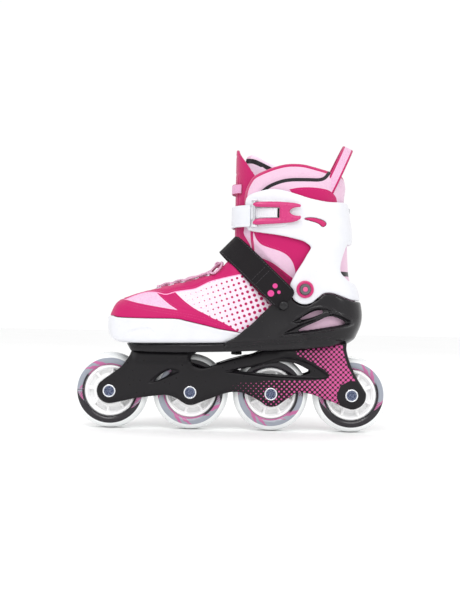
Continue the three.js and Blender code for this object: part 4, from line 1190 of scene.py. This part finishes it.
def make_insole(look):
    grid = Grid((-105, -33, 86), (106, 33, 106), 0.8)
    plan = curve([(-101, 0), (-97, 15), (-84, 25.5), (-50, 30.5), (-10, 27.5), (30, 24.4), (70, 24.5), (92, 18), (102, 0)], 8)
    plan = np.vstack([plan, plan[::-1] * (1, -1)])
    low = np.interp(grid.x, [-102, -22, 24, 62, 106], [91, 92.6, 95, 98, 98]).astype(np.float32)
    face = grid.above(plan * (0.985, 0.965))
    dish = 0.9 * step_up(-face, 0, 9)
    seams = 0.35 * np.exp(-(((grid.x + 18) % 24 - 12) / 0.8) ** 2) * step_up(-face, 3, 4)
    flat_heel = step_up(grid.x, 50, 60)
    body = smax(smax(face, grid.z - (low + 2.9 - dish * 0.6 * (1 - flat_heel) - seams * (1 - flat_heel)), 1.6), low + 0.2 - grid.z, 1)
    piece = settle(grid.mesh("insole_pad", body, 0.01), 1)
    place_piece(piece, "chassis", "liner_fabric", look, "insole")
    return piece


def make_tongue(look):
    """The padded tongue, curved round the shin, with a quilted face and a pointed top."""
    grid = Grid((-4, -28, 158), (24, 28, 270), 0.7)
    spread = np.abs(grid.y)
    face = 1.4 + 14 * (spread / 22) ** 2.6 + 0.35 * step_up(196 - grid.z, 0, 40) * spread * 0.4
    crest = curve([(-25, 236), (-17, 253.5), (-7, 264), (0, 266.8), (7, 264), (17, 253.5), (25, 236)], 6)
    peak = grid.front(outline([(-22, 160), (-25, 190), (-25, 228)], crest, [(25, 228), (25, 190), (22, 160)]))
    pillow = 0.5 * step_up(-peak, 0.5, 6)
    groove = 0.55 * np.exp(-((spread - 12) / 0.7) ** 2) * step_up(242 - grid.z, 0, 3)
    lines = 0.5 * np.exp(-(((grid.z + 3) % 17 - 8.5) / 0.8) ** 2) * step_up(11.5 - spread, 0, 1)
    front = face - pillow * 0.3 + groove + lines - 0.1
    body = smax(smax(front - grid.x, grid.x - (face + 3 + pillow * 0.6), 1.6), peak, 1.6)
    piece = settle(grid.mesh("tongue_pad", body, 0.01), 2)
    place_piece(piece, ("chassis", "ankle_cuff", (0.004, 0, 0.174), (0.004, 0, 0.202)), "upper_fabric", look,
                "tongue")
    return piece


def make_throat(look):
    """The lower tongue that shows between the eyelets, under the laces."""
    grid = Grid((-74, -20, 108), (12, 20, 180), 0.8)
    boot = boot_field(grid)
    quilt = 0.6 * np.abs(np.sin(grid.x / 6.5))
    wall = np.maximum(boot + 4.4 - quilt, -7.4 - boot)
    body = smax(smax(wall, np.abs(grid.y) - 16 - 2 * step_up(grid.x, -60, 0), 1.5),
                np.maximum(-71 - grid.x, grid.x - 6), 2)
    piece = settle(grid.mesh("throat_pad", smax(body, 126 - grid.z, 1), 0.01), 1)
    place_piece(piece, "toe_box", "upper_fabric", look)
    return piece


def on_foot(x, y, lift=0.0):
    """A point on the upper's own outer surface, or lifted off it."""
    half, sole, top = FOOT(x)
    height = (1 - min(abs(y) / half, 0.99) ** ROUND) ** (1 / ROUND)
    return np.array([x, y, float(sole + (top - sole) * height) + lift])


def lace_line(row, hand):
    """The eyelet's place: five pairs up the throat, on the upper's own surface."""
    t = row / 4
    return on_foot(-70 + 47 * t, hand * (8.5 + 2.5 * t), -0.6)


def make_laces(look, metal):
    """Laces crossing through five pairs of eyelets, with a bow at the top."""
    parts = []
    for row in range(4):
        for hand in (1, -1):
            a, b = lace_line(row, hand), lace_line(row + 1, -hand)
            middle = (a + b) / 2 + (0, 0, 0.2 + 1.9 * (hand > 0))
            start, end = a + (0, hand * 1.2, -1.6), b + (0, -hand * 1.2, -1.6)
            parts.append(cord_along("lace", [start, a + (0, 0, 0.9), middle, b + (0, 0, 0.9), end], 1.2))
    a, b = lace_line(0, 1), lace_line(0, -1)
    parts.append(cord_along("lace", [a + (0, 1.2, -1.6), a + (-0.5, 0, 0.9), (a + b) / 2 + (-0.8, 0, 1.2),
                                     b + (-0.5, 0, 0.9), b + (0, -1.2, -1.6)], 1.2))
    knot = on_foot(-14.5, 0, 1.8)
    for hand in (1, -1):
        foot = lace_line(4, hand)
        parts.append(cord_along("lace", [foot + (0, hand * 1.2, -1.6), foot + (0.8, 0, 1), on_foot(-18, hand * 4.5, 1), knot],
                                1.2))
        loop = [knot] + [on_foot(-14.5 + dx, hand * y, lift) for dx, y, lift in (
            (2.6, 6, 1.8), (4.4, 12.5, 1.4), (2.4, 18, 1.3), (-2.6, 19.6, 1.2), (-6.2, 15.6, 1.3), (-5.4, 9.4, 1.6),
            (-2, 4, 2.2))] + [knot + (0, 0, 0.8)]
        parts.append(cord_along("lace", loop, 1.15))
        tail = [knot + (0, 0, 0.8)] + [on_foot(-14.5 + dx, hand * y, 1.1) for dx, y in (
            (-5, 5), (-11, 9.6), (-18, 12.4), (-25, 13), (-31, 15.4))]
        parts.append(cord_along("lace", tail, 1.1))
    turns = np.linspace(0, 2 * math.pi * 1.6, 14)
    wrap = [knot + (1.9 * math.cos(t), 0.55 * (t - 5), 0.3 + 1.9 * math.sin(t)) for t in turns]
    parts.append(cord_along("lace", wrap, 1.2))
    piece = joined("lace_set", parts)
    place_piece(piece, "toe_box", "lace_cord", look, "laces")
    rings = []
    for row in range(5):
        for hand in (1, -1):
            spot = lace_line(row, hand) + (0, hand * 0.6, -0.5)
            slope = math.atan2(float(FOOT(spot[0] + 2)[2]) - float(FOOT(spot[0] - 2)[2]), 4)
            lean = Matrix.Rotation(-slope, 3, "Y") @ Matrix.Rotation(-hand * 0.2, 3, "X")
            turn = np.array(lean)
            rings.append(lathe("eyelet", [(1.5, -0.5), (2.9, -0.5), (2.9, 0.25), (2.2, 0.6), (1.5, 0.25)],
                               lambda p, turn=turn, spot=spot: p @ turn.T + spot, turns=24, radius=0.15))
    eyelets = joined("lace_eyelets", rings)
    place_piece(eyelets, "toe_box", "rivet_steel", metal)
    return piece




def strap_place(points):
    """From (along, sideways, across) on the strap's own slope to the frame."""
    return (STRAP_FOOT + points[:, :1] * ALONG + points[:, 2:] * ACROSS + points[:, 1:2] * (0, 1, 0))


def strap_arch(inset):
    half = np.array([(-43.6 + inset, -9), (-43.4 + inset, 8), (-37 + inset, 25), (-29.5 + inset, 42),
                     (-18 + inset * 0.8, 62), (-7, 71 - inset)])
    return curve(np.vstack([half, half[::-1] * (-1, 1)]), 10)


def make_strap(look, trim, plastic):
    grid = Grid((-14, -47, -15), (71, 47, 15), 0.7)
    arch = strap_arch(1.1)
    off = off_line(arch[:, ::-1], grid.x[:, :, 0], grid.y[:, :, 0])[:, :, None]
    hem = 0.25 * np.exp(-((np.abs(grid.z) - 10.2) / 0.6) ** 2)
    ripple = 0.12 * np.sin(grid.x / 3.1 + grid.y / 7)
    body = smax(off - (1.0 + hem * -1 + ripple), np.abs(grid.z) - 12, 1.2)
    # The outer end is rounded off around its rivet.
    end_u = grid.x + 6.6 + 0.4 * step_up(-grid.z, 0, 12)
    corner = smax(smax(-end_u, np.abs(grid.z) - 12, 7), grid.x - 30, 1)
    body = np.maximum(body, np.where(grid.x < 8, corner, -9))
    piece = settle(grid.mesh("instep_strap_web", body, 0.01, strap_place), 1)
    place_piece(piece, "chassis", "strap_webbing", look, "instep_strap")
    tree = surface_tree(piece)
    routes = []
    for v in (-10.4, 10.4):
        line = [np.array((u, y, v)) for y, u in strap_arch(-0.6) if u > -2]
        routes.append(strap_place(np.array(line)))
    cross = [(-34, 31), (-36.6, 26)]
    for y, u in cross:
        routes.append(strap_place(np.array([(u, y - 1.6, v) for v in (-9, -3, 3, 9)], float)))
    sewn = stitches("strap_stitches", tree, routes, trim, length=2.0, gap=1.0, radius=0.24)
    place_piece(sewn, "chassis", "strap_webbing", trim)
    keeper_grid = Grid((12, 24, -17), (22, 49, 17), 0.45)
    arch_k = strap_arch(1.1)
    off_k = off_line(arch_k[:, ::-1], keeper_grid.x[:, :, 0], keeper_grid.y[:, :, 0])[:, :, None]
    hollow = np.maximum(off_k - 1.7, np.abs(keeper_grid.z) - 12.6)
    ring = smax(off_k - 2.9, np.abs(keeper_grid.z) - 14.4, 1.6)
    ring = smax(smax(ring, -hollow, 0.5), np.abs(keeper_grid.x - 16.75) - 2.75, 1.0)
    keeper = settle(keeper_grid.mesh("strap_keeper_ring", ring, 0.01, strap_place), 1)
    place_piece(keeper, "chassis", "strap_webbing", plastic, "strap_keeper")


def cuff_field(grid):
    return grid.even(shaft_field(grid, lambda z, half: half * 0 + CUFF_HALF))


HINGE = (18.5, -40.4)
LEVER_SIDE = outline(
    curve([(16.3, 211.2), (17.2, 213), (20, 213.9), (26, 214.3), (40, 214.5), (50, 214), (58, 213.2), (61, 212.2), (61.6, 210.6)], 5),
    curve([(60.6, 209.4), (57.6, 209.3), (54.6, 208.8), (52, 207.4), (51, 205.6), (52, 203.8), (54.6, 202.5), (57.6, 202), (60.8, 202.3)], 5),
    curve([(61.8, 201.4), (61.6, 199.4), (59, 197.4), (54, 195.8), (46, 194.7), (34, 193.7), (22, 193), (17, 193.6), (16.2, 195.2)], 5),
    [(18, 197.2)], curve([(20, 198.2), (26, 199), (41.4, 199.6)], 5), [(41.4, 208.9)], curve([(26, 209), (19.6, 209.6), (17.6, 210.4)], 5))
LEVER_PLAN = outline(
    curve([(15.9, -39.8), (16.4, -41.7), (18.4, -43.2), (27, -45), (41, -45.6), (52, -45.9), (62, -45.7)], 5),
    curve([(62, -43.9), (54, -43.1), (41, -42.9), (27, -42.2), (21.8, -39.6), (18.8, -38.2)], 5))


def make_buckle(pink, white, grey, metal, shade):
    grid = Grid((14, -47.5, 191.4), (64, -36.5, 216), 0.45)
    face = grid.side(LEVER_SIDE)
    crown = 0.6 * step_up(-face, 0, 2.4)
    ridge = 0.4 * np.exp(-((-face - 2.6) / 0.7) ** 2)
    thumb = 0.35 * np.cos((grid.x - 50) * 2.1) * step_up(grid.x, 53.5, 55)
    plan = grid.above(LEVER_PLAN)
    body = smax(smax(plan - crown + 0.7 - ridge * 0.6 + thumb * 0.25, face, 1.1), grid.y + 36.9, 0.6)
    shaft = np.sqrt((grid.x - HINGE[0]) ** 2 + (grid.y - HINGE[1]) ** 2)
    body = np.maximum(body, 1.5 - shaft)
    lever = settle(grid.mesh("buckle_lever_arm", body, 0.01), 1)
    place_piece(lever, "lever", "pink_plastic", pink, "buckle_lever")

    grid = Grid((14.5, -46, 189.8), (51.5, -30, 217.4), 0.5)
    cuff = cuff_field(grid)
    plate_side = grid.side(outline(curve([(15.9, 192), (17, 190.8), (30, 190.9), (44, 191.6), (49, 194), (50, 199)], 5),
                                   curve([(50, 208), (49, 213), (44, 215.6), (30, 216.3), (17, 216.4), (15.9, 215)], 5)))
    plate = smax(skin(cuff, 4.5, 5.6), plate_side, 0.9)
    lug_plan = grid.above(outline([(15.9, -32), (22.6, -34)], curve([(21.6, -41.6), (20.4, -43), (18.5, -43.4), (16.8, -43), (15.9, -41.6)], 5)))
    bands = np.minimum(np.abs(grid.z - 191.6) - 0.8, np.abs(grid.z - 215.6) - 0.8)
    lugs = np.maximum(smax(lug_plan, bands, 0.5), 4.6 - cuff)
    body = smin(plate, lugs, 0.8)
    shaft = np.sqrt((grid.x - HINGE[0]) ** 2 + (grid.y - HINGE[1]) ** 2)
    body = np.maximum(body, 1.4 - shaft)
    base = settle(grid.mesh("buckle_base_plate", body, 0.01), 1)
    place_piece(base, "ankle_cuff", "white_plastic", white, "buckle_base")

    grid = Grid((14, -46.5, 196.8), (42.5, -34, 211), 0.4)
    cuff = cuff_field(grid)
    teeth = ((grid.x - 16) / 1.9) % 1
    in_field = step_up(3.6 - np.abs(grid.z - 204.3), 0, 0.4) * step_up(grid.x, 20, 21)
    top = 7.25 - 0.55 * teeth * in_field + 0.3 * (1 - in_field)
    tongue = outline([(15.6, 197.8), (18.6, 198.6), (26, 199.4)], [(39.8, 199.8), (39.8, 208.7)], [(26, 208.7), (18.6, 209.2), (15.6, 209.9)])
    body = smax(np.maximum(cuff - top, 6.0 - cuff), grid.side(tongue), 0.5)
    ladder = settle(grid.mesh("ladder_teeth", body, 0.01), 1)
    place_piece(ladder, "ankle_cuff", "white_plastic", white, "ladder_strap")
    gap = smax(skin(cuff, 5.7, 6.5), grid.side([(39.9, 199.9), (41.4, 199.9), (41.4, 208.6), (39.9, 208.6)]), 0.3)
    slot = grid.mesh("buckle_slot_shade", gap, 0.01)
    place_piece(slot, "ankle_cuff", "white_plastic", shade)

    grid = Grid((-6, -46, 189.6), (37.5, 46, 213.6), 0.7)
    cuff = cuff_field(grid)
    end = np.where(grid.y < 0, grid.x - 15.5, grid.x - 36)
    tip = smax(np.abs(grid.z - 201.65) - 10.2, end, np.where(grid.y < 0, 1.6, 7))
    groove = 0.3 * np.exp(-((np.abs(grid.z - 201.65) - 7.8) / 0.6) ** 2)
    body = smax(skin(cuff, 4.9, 6.8 - groove), tip, 0.9)
    hole = np.sqrt((grid.x - 28) ** 2 + (grid.z - 201.6) ** 2)
    body = np.maximum(body, np.where(grid.y > 0, 2.1 - hole, -9))
    band = settle(grid.mesh("cuff_strap_band", body, 0.01), 1)
    place_piece(band, "ankle_cuff", "strap_webbing", grey, "cuff_strap")

    pin = lathe("buckle_pin_rod", [(0, 190.6), (1.3, 190.9), (1.3, 216.3), (0, 216.6)], upright(*HINGE), 32, 0.4)
    place_piece(pin, "ankle_cuff", "rivet_steel", metal, "buckle_pin")


def make_loops(tape_look, small_look):
    """The pull loop at the heel and the small keeper loop on the tongue."""
    lean = math.radians(24.7)
    up = np.array((math.sin(lean), 0, math.cos(lean)))
    half = np.array([(-27.6, -3.5), (-29.6, 1), (-30.6, 7), (-30.2, 14), (-26.6, 24.6), (-19.6, 37), (-10, 44.6), (0, 46.3)])
    arch = curve(np.vstack([half, half[-2::-1] * (-1, 1)]), 8)
    forward = np.array((math.cos(lean), 0, -math.sin(lean)))
    foot = np.array((83, 0, 230)) + forward * 5.25
    path = np.array([foot + (0, y, 0) + up * u for y, u in arch])
    outward = np.array([(0, y, 0) + up * (u + 12) for y, u in arch])
    outward /= np.linalg.norm(outward, axis=1)[:, None]
    loop = sweep("pull_loop_tape", path, tape(10.4, 1.35, 15), outward)
    place_piece(loop, "ankle_cuff", "loop_webbing", tape_look, "pull_loop")
    bow = curve([(6.4, -16.6), (3.0, -14.4), (-0.6, -8), (-1.7, 0), (-0.6, 8), (3.0, 14.4), (6.4, 16.6)], 8)
    path = np.array([(x, y, 228.3) for x, y in bow])
    outward = np.array([(x - 12, y, 0) for x, y in bow], float)
    outward /= np.linalg.norm(outward, axis=1)[:, None]
    small = sweep("tongue_loop_tape", path, tape(9.4, 1.3, 13), outward)
    place_piece(small, "ankle_cuff", "loop_webbing", small_look, "tongue_loop")


def make_wheel(number, x, looks, metal, hub_look, seal_look):
    place = beside(x, AXLE_Z)
    body = f"wheel_{number}"
    tyre_profile = [(24.25, -9.2), (25.2, -10.3), (27.5, -11.3), (30.6, -10.9), (31.0, -10.5), (31.6, -10.4), (33.4, -9),
                    (34.9, -6.4), (35.7, -3.4), (36, 0), (35.7, 3.4), (34.9, 6.4), (33.4, 9), (31.6, 10.4), (31.0, 10.5),
                    (30.6, 10.9), (27.5, 11.3), (25.2, 10.3), (24.25, 9.2)]
    tyre = lathe(f"tyre_cast_{number}", tyre_profile, place, 144, 0.6)
    p = points_of(tyre)
    mark(tyre, radius=np.hypot(p[:, 0] - x, p[:, 2] - AXLE_Z), side=p[:, 1])
    angle = np.arctan2(p[:, 2] - AXLE_Z, p[:, 0] - x)
    layer = tyre.data.attributes.new("angle", "FLOAT", "POINT")
    layer.data.foreach_set("value", angle.astype(np.float32))
    place_piece(tyre, body, "urethane", looks, f"tyre_{number}")

    grid = Grid((-24.4, -24.4, -12.6), (24.4, 24.4, 12.6), 0.45)
    r = np.sqrt(grid.x ** 2 + grid.y ** 2)
    away = np.abs(grid.z)
    turn = np.arctan2(grid.y, grid.x)
    spoke = np.abs(((turn / (2 * math.pi) * 8 + 0.13 * number) % 1) - 0.5)
    rim = smax(smax(21.2 - r, r - 23.9, 0.8), away - 9.0, 1.0)
    barrel = smax(smax(11.2 - r, r - 14.4, 0.8), away - 12.0, 0.8)
    web = np.maximum(np.maximum(13 - r, r - 22), away - (5.2 + 0.9 * step_up(r, 19, 21)))
    rib = np.maximum(np.maximum(13 - r, r - 22), smax((0.5 - spoke) * r * 0.78 - 1.05, away - (7.8 - 0.25 * (r - 14) * 0.6), 0.8))
    pocket = smax(smax(15.9 - r, r - 19.9, 1.2), 1.5 - (0.5 - spoke) * r * 0.78 * 0 - (0.5 - np.abs(0.5 - (0.5 - spoke))) * r * 0.78, 1.4)
    body_field = smin(smin(rim, barrel, 1.2), smin(web, rib, 1.0), 1.0)
    dish = np.maximum(pocket, 2.0 - away)
    body_field = smax(body_field, -dish, 0.7)
    hub = settle(grid.mesh(f"wheel_core_{number}", body_field, 0.01, place), 1)
    place_piece(hub, body, "hub_plastic", hub_look, f"wheel_hub_{number}")

    for side, node in ((OUTER, "bearing_outer"), (INNER, "bearing_inner")):
        at = beside(x, AXLE_Z, side)
        race = lathe(f"{node}_race_{number}", [(9.0, 5.25), (10.85, 5.25), (10.85, 12.05), (9.0, 12.05), (8.7, 11.5), (8.7, 5.8)], at, 72, 0.3)
        core = lathe("core", [(4.15, 5.25), (5.9, 5.25), (5.9, 12.05), (4.15, 12.05)], at, 72, 0.3)
        seal = lathe("seal", [(5.9, 6), (8.75, 6), (8.75, 11.75), (8.2, 11.45), (6.6, 11.3), (5.9, 11.6)], at, 72, 0.2)
        seal.data.materials.append(seal_look)
        race.data.materials.append(metal)
        core.data.materials.append(metal)
        ring = joined(f"{node}_race_{number}", [race, core, seal])
        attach(ring, body)
        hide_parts(f"{node}_{number}")


def make_axle(number, x, chrome, socket_look):
    grid = Grid((-7, -7, 16.6), (7, 7, 19.3), 0.22)
    r = np.sqrt(grid.x ** 2 + grid.y ** 2)
    dome = smax(r - 6.15, grid.z - 18.8 + 0.03 * r * r * 0.35, 0.9)
    head = smax(dome, 17.05 - grid.z, 0.3)
    turn = 0.26 + 0.4 * number
    hexagon = np.maximum.reduce([np.abs(grid.x * math.cos(turn + k * math.pi / 3) + grid.y * math.sin(turn + k * math.pi / 3)) - 2.6
                                 for k in range(3)])
    recess = np.maximum(hexagon, 17.5 - grid.z)
    saucer = smax(r - 4.75, 18.15 - grid.z, 0.3)
    body = smax(smax(head, -saucer, 0.35), -recess, 0.25)
    bolt = grid.mesh(f"axle_head_{number}", body, 0.01, beside(x, AXLE_Z))
    settle(bolt, 1)
    p = points_of(bolt)
    mark(bolt, dish=4.9 - np.hypot(p[:, 0] - x, p[:, 2] - AXLE_Z))
    shank = lathe("shank", [(0, 17.1), (3.95, 17.1), (3.95, -15), (2.6, -15), (2.6, -1), (0, -1)], beside(x, AXLE_Z), 40, 0.3)
    bolt.data.materials.append(chrome)
    shank.data.materials.append(chrome)
    bolt = joined(f"axle_head_{number}", [bolt, shank])
    place_piece(bolt, "chassis", "axle_steel", chrome, f"axle_bolt_{number}")
    screw_head = grid.mesh(f"axle_screw_head_{number}", body, 0.01, beside(x, AXLE_Z, INNER))
    settle(screw_head, 1)
    p = points_of(screw_head)
    mark(screw_head, dish=4.9 - np.hypot(p[:, 0] - x, p[:, 2] - AXLE_Z))
    stem = lathe("stem", [(0, 17.1), (2.2, 17.1), (2.2, 4), (0, 4)], beside(x, AXLE_Z, INNER), 32, 0.3)
    screw_head = joined(f"axle_screw_head_{number}", [cleaned(screw_head, 60), stem])
    place_piece(screw_head, "chassis", "axle_steel", chrome, f"axle_screw_{number}")
    spacer = lathe(f"axle_spacer_tube_{number}", [(4.15, -4.85), (5.6, -4.85), (5.6, -1.2), (5.2, -0.6), (5.2, 0.6), (5.6, 1.2),
                                                  (5.6, 4.85), (4.15, 4.85)], beside(x, AXLE_Z), 56, 0.3)
    place_piece(spacer, "chassis", "axle_steel", chrome, f"axle_spacer_{number}")


def make_rivets(steel_look, dark_look, pink_look, black_look):
    for side, tag in ((OUTER, "outer"), (INNER, "inner")):
        at = beside(47, 119.3, side)
        button = lathe(f"strap_rivet_button_{tag}", [(0, 36.6), (2.1, 36.6), (2.1, 43.95), (4.1, 43.95), (4.2, 44.3), (3.7, 45.1),
                                                     (2.6, 45.6), (1.2, 45.8), (0, 45.85)], at, 56, 0.25)
        place_piece(button, "chassis", "dark_steel", black_look, f"strap_rivet_{tag}")
        at = beside(*PIVOT, side)
        disc = lathe(f"ankle_rivet_disc_{tag}", [(0, 34.4), (4, 34.4), (4, 41.5), (5, 41.5), (5, 45.1), (4.5, 45.8), (3.2, 45.8), (2.9, 45.4),
                                                 (2.35, 45.4), (2.2, 45.85), (0, 45.9)], at, 64, 0.2)
        p = points_of(disc)
        mark(disc, centre=2.3 - np.hypot(p[:, 0] - PIVOT[0], p[:, 2] - PIVOT[1]))
        place_piece(disc, "chassis", "dark_steel", dark_look, f"ankle_rivet_{tag}")
        ring = lathe(f"ankle_cap_ring_{tag}", [(5.3, 41.5), (8, 41.5), (8.05, 42.6), (7.5, 43.7), (6.7, 44), (6.1, 43.5), (5.7, 43.9),
                                               (5.3, 43.8)], at, 72, 0.3)
        place_piece(ring, "chassis", "pink_plastic", pink_look, f"ankle_cap_{tag}")
    screw = lathe("cuff_strap_screw_head", [(0, 37.6), (1.9, 37.6), (1.9, 42.2), (4, 42.2), (4.05, 43), (3.2, 43.8), (1.4, 44),
                                            (1.3, 43.3), (0, 43.3)], beside(28, 201.6, INNER), 48, 0.25)
    place_piece(screw, "ankle_cuff", "rivet_steel", steel_look, "cuff_strap_screw")
    back = lathe("cuff_rear_rivet_head", [(0, 105.3), (1.9, 105.3), (1.9, 109.3), (2.9, 109.3), (2.9, 109.7), (2.2, 110.5), (0, 110.7)],
                 lambda p: np.stack([p[:, 2], p[:, 0], 210.5 + p[:, 1]], 1), 48, 0.25)
    place_piece(back, "ankle_cuff", "rivet_steel", steel_look, "cuff_rear_rivet")
    for name, x, seat, top in (("frame_bolt_front", -76, 67.7, 81), ("frame_bolt_rear", 76, 73.7, 86)):
        bolt = lathe(f"{name}_head", [(0, seat - 1.6), (2.2, seat - 1.6), (2.4, seat - 4), (4.8, seat - 4), (5.4, seat - 3.2),
                                      (5.4, seat), (3, seat), (3, top), (0, top)], upright(x), 48, 0.3)
        place_piece(bolt, "chassis", "rivet_steel", steel_look, name)


def make_knob(look):
    grid = Grid((-1.5, -9.5, 70.8), (11.5, 9.5, 81.2), 0.4)
    x, r = grid.x - 5, np.sqrt((grid.x - 5) ** 2 + grid.y ** 2)
    scallop = 0.22 * np.cos(14 * np.arctan2(grid.y, x))
    disc = smax(r - 4.9 - scallop, np.abs(grid.z - 73.3) - 1.6, 0.7)
    wing = smax(smax(np.abs(x) - 1.3, np.abs(grid.y) - 7.9, 1), np.abs(grid.z - 73.2) - 1.35, 0.8)
    stem = np.maximum(r - 2.2, np.abs(grid.z - 77) - 3.5)
    knob = settle(grid.mesh("size_knob_grip", smin(smin(disc, wing, 0.8), stem, 0.4), 0.01), 1)
    place_piece(knob, "knob", "shell_plastic", look, "size_knob")


# ---- the whole skate ---------------------------------------------------------------------------------

def build():
    white = moulded("white_plastic", WHITE, 0.3, 0.5).material
    black = moulded("trim_black", BLACK, 0.3, gloss=0.25).material
    pink = moulded("lever_pink", LEVER_PINK, 0.28, 0.6).material
    ring_pink = moulded("cap_pink", rgb(200, 46, 112), 0.3, 0.6).material
    grey = moulded("strap_grey", GREY, 0.42, 0.4).material
    hub_white = moulded("hub_white", rgb(252, 252, 252), 0.3, 0.6).material
    glossy_black = moulded("rivet_black", rgb(18, 17, 20), 0.14, 1.5, 0.4).material
    metal = steel("bright_steel").material
    seal = moulded("seal_grey", rgb(92, 94, 98), 0.45).material

    thread = cord_finish("thread_pink", rgb(232, 120, 172), rgb(206, 70, 136))
    place_piece(make_frame(), "chassis", "frame_plastic", frame_finish(), "frame")
    place_piece(make_shell(), "chassis", "shell_plastic", shell_finish(), "shell")
    place_piece(make_cuff(), "ankle_cuff", "white_plastic", white, "cuff")
    place_piece(make_leaves(), "ankle_cuff", "pink_plastic", moulded("leaf_crimson", CRIMSON, 0.4).material)
    place_piece(make_toe_cap(), "toe_box", "white_plastic", white, "toe_cap")
    make_vamp(vamp_finish(), thread)
    make_liner(liner_finish(), thread)
    make_insole(cloth("insole_cloth", rgb(206, 188, 202), 1.4).material)
    tongue_look = cloth("tongue_cloth", CRIMSON, 1.2)
    make_tongue(tongue_look.material)
    make_throat(cloth("throat_cloth", rgb(214, 70, 134), 1.2).material)
    make_laces(cord_finish("lace_braid", rgb(238, 200, 222), rgb(222, 146, 186)), metal)
    dark_thread = cord_finish("thread_black", rgb(70, 68, 72), rgb(52, 50, 54))
    make_strap(strap_finish(), dark_thread, black)
    make_buckle(pink, white, grey, metal, black)
    make_loops(loop_finish("pull_tape", rgb(234, 186, 212), 3.2, 3.5),
               loop_finish("tongue_tape", rgb(226, 150, 190), 3.9, 4.2))
    for number, x in enumerate(AXLES_X, 1):
        make_wheel(number, x, tyre_finish(number), metal, hub_white, seal)
        make_axle(number, x, axle_finish(), None)
    make_rivets(metal, disc_finish(), ring_pink, glossy_black)
    make_knob(black)


def axle_finish():
    found = bpy.data.materials.get("axle_chrome")
    if found:
        return found
    finish = steel("axle_chrome", (0.72, 0.74, 0.78, 1), 0.2)
    dish = finish.step(finish.mark("dish"), -0.1, 0.25)
    mottled = finish.mix(finish.step(finish.noise(1.1, 3), 0.35, 0.65), rgb(58, 66, 92), rgb(120, 128, 150))
    finish.colour(finish.mix(dish, (0.78, 0.8, 0.83, 1), mottled))
    return finish.material


def disc_finish():
    finish = moulded("pivot_disc", rgb(92, 92, 94), 0.36, 0.7)
    centre = finish.step(finish.mark("centre"), -0.1, 0.1)
    finish.colour(finish.mix(centre, tone(finish, rgb(92, 92, 94), 0.3, 2.2), rgb(214, 86, 140)))
    return finish.material


def light(name, place, size, power, strip=None, target=(0, 0, 0.12)):
    """A round softbox, or a long strip of the given height."""
    data = bpy.data.lights.new(name, "AREA")
    data.shape = "DISK" if strip is None else "RECTANGLE"
    data.size = size
    if strip is not None:
        data.size_y = strip
    data.energy = power
    lamp = bpy.data.objects.new(name, data)
    lamp.location = place
    lamp.rotation_euler = (Vector(target) - Vector(place)).to_track_quat("-Z", "Y").to_euler()
    bpy.context.scene.collection.objects.link(lamp)


def studio():
    scene = bpy.context.scene
    world = bpy.data.worlds.new("studio")
    world.use_nodes = True
    world.node_tree.nodes["Background"].inputs["Color"].default_value = (1, 1, 1, 1)
    world.node_tree.nodes["Background"].inputs["Strength"].default_value = 1.02
    scene.world = world
    scene.view_settings.view_transform = "Standard"
    light("key", (-0.5, -0.9, 1.4), 0.4, 4.2)
    light("glint", (0.05, -1.0, 0.85), 0.9, 3.0, strip=0.05)
    light("fill", (1.2, -0.8, 0.6), 0.12, 1.3)
    light("back", (0.2, 1.2, 1.1), 0.8, 3)

    floor = make_object("floor", [(-4000, -4000, 0), (4000, -4000, 0), (4000, 4000, 0), (-4000, 4000, 0)],
                        [(0, 1, 2, 3)], smooth=False)
    paper = Finish("pale_floor", 0.9, Specular_IOR_Level=0.1)
    paper.colour(paper.mix(paper.noise(180, 2), (0.93, 0.93, 0.93, 1), (0.96, 0.96, 0.96, 1)))
    floor.data.materials.append(paper.material)

    data = bpy.data.cameras.new("camera")
    data.sensor_fit = "AUTO"
    data.sensor_width = 36
    data.lens = 65.05
    camera = bpy.data.objects.new("camera", data)
    roll = math.radians(-1.17)
    camera.location = (-0.0020, -1.060, 0.117)
    camera.rotation_euler = (math.radians(90), roll, 0)
    scene.collection.objects.link(camera)
    scene.camera = camera


studio()
build()
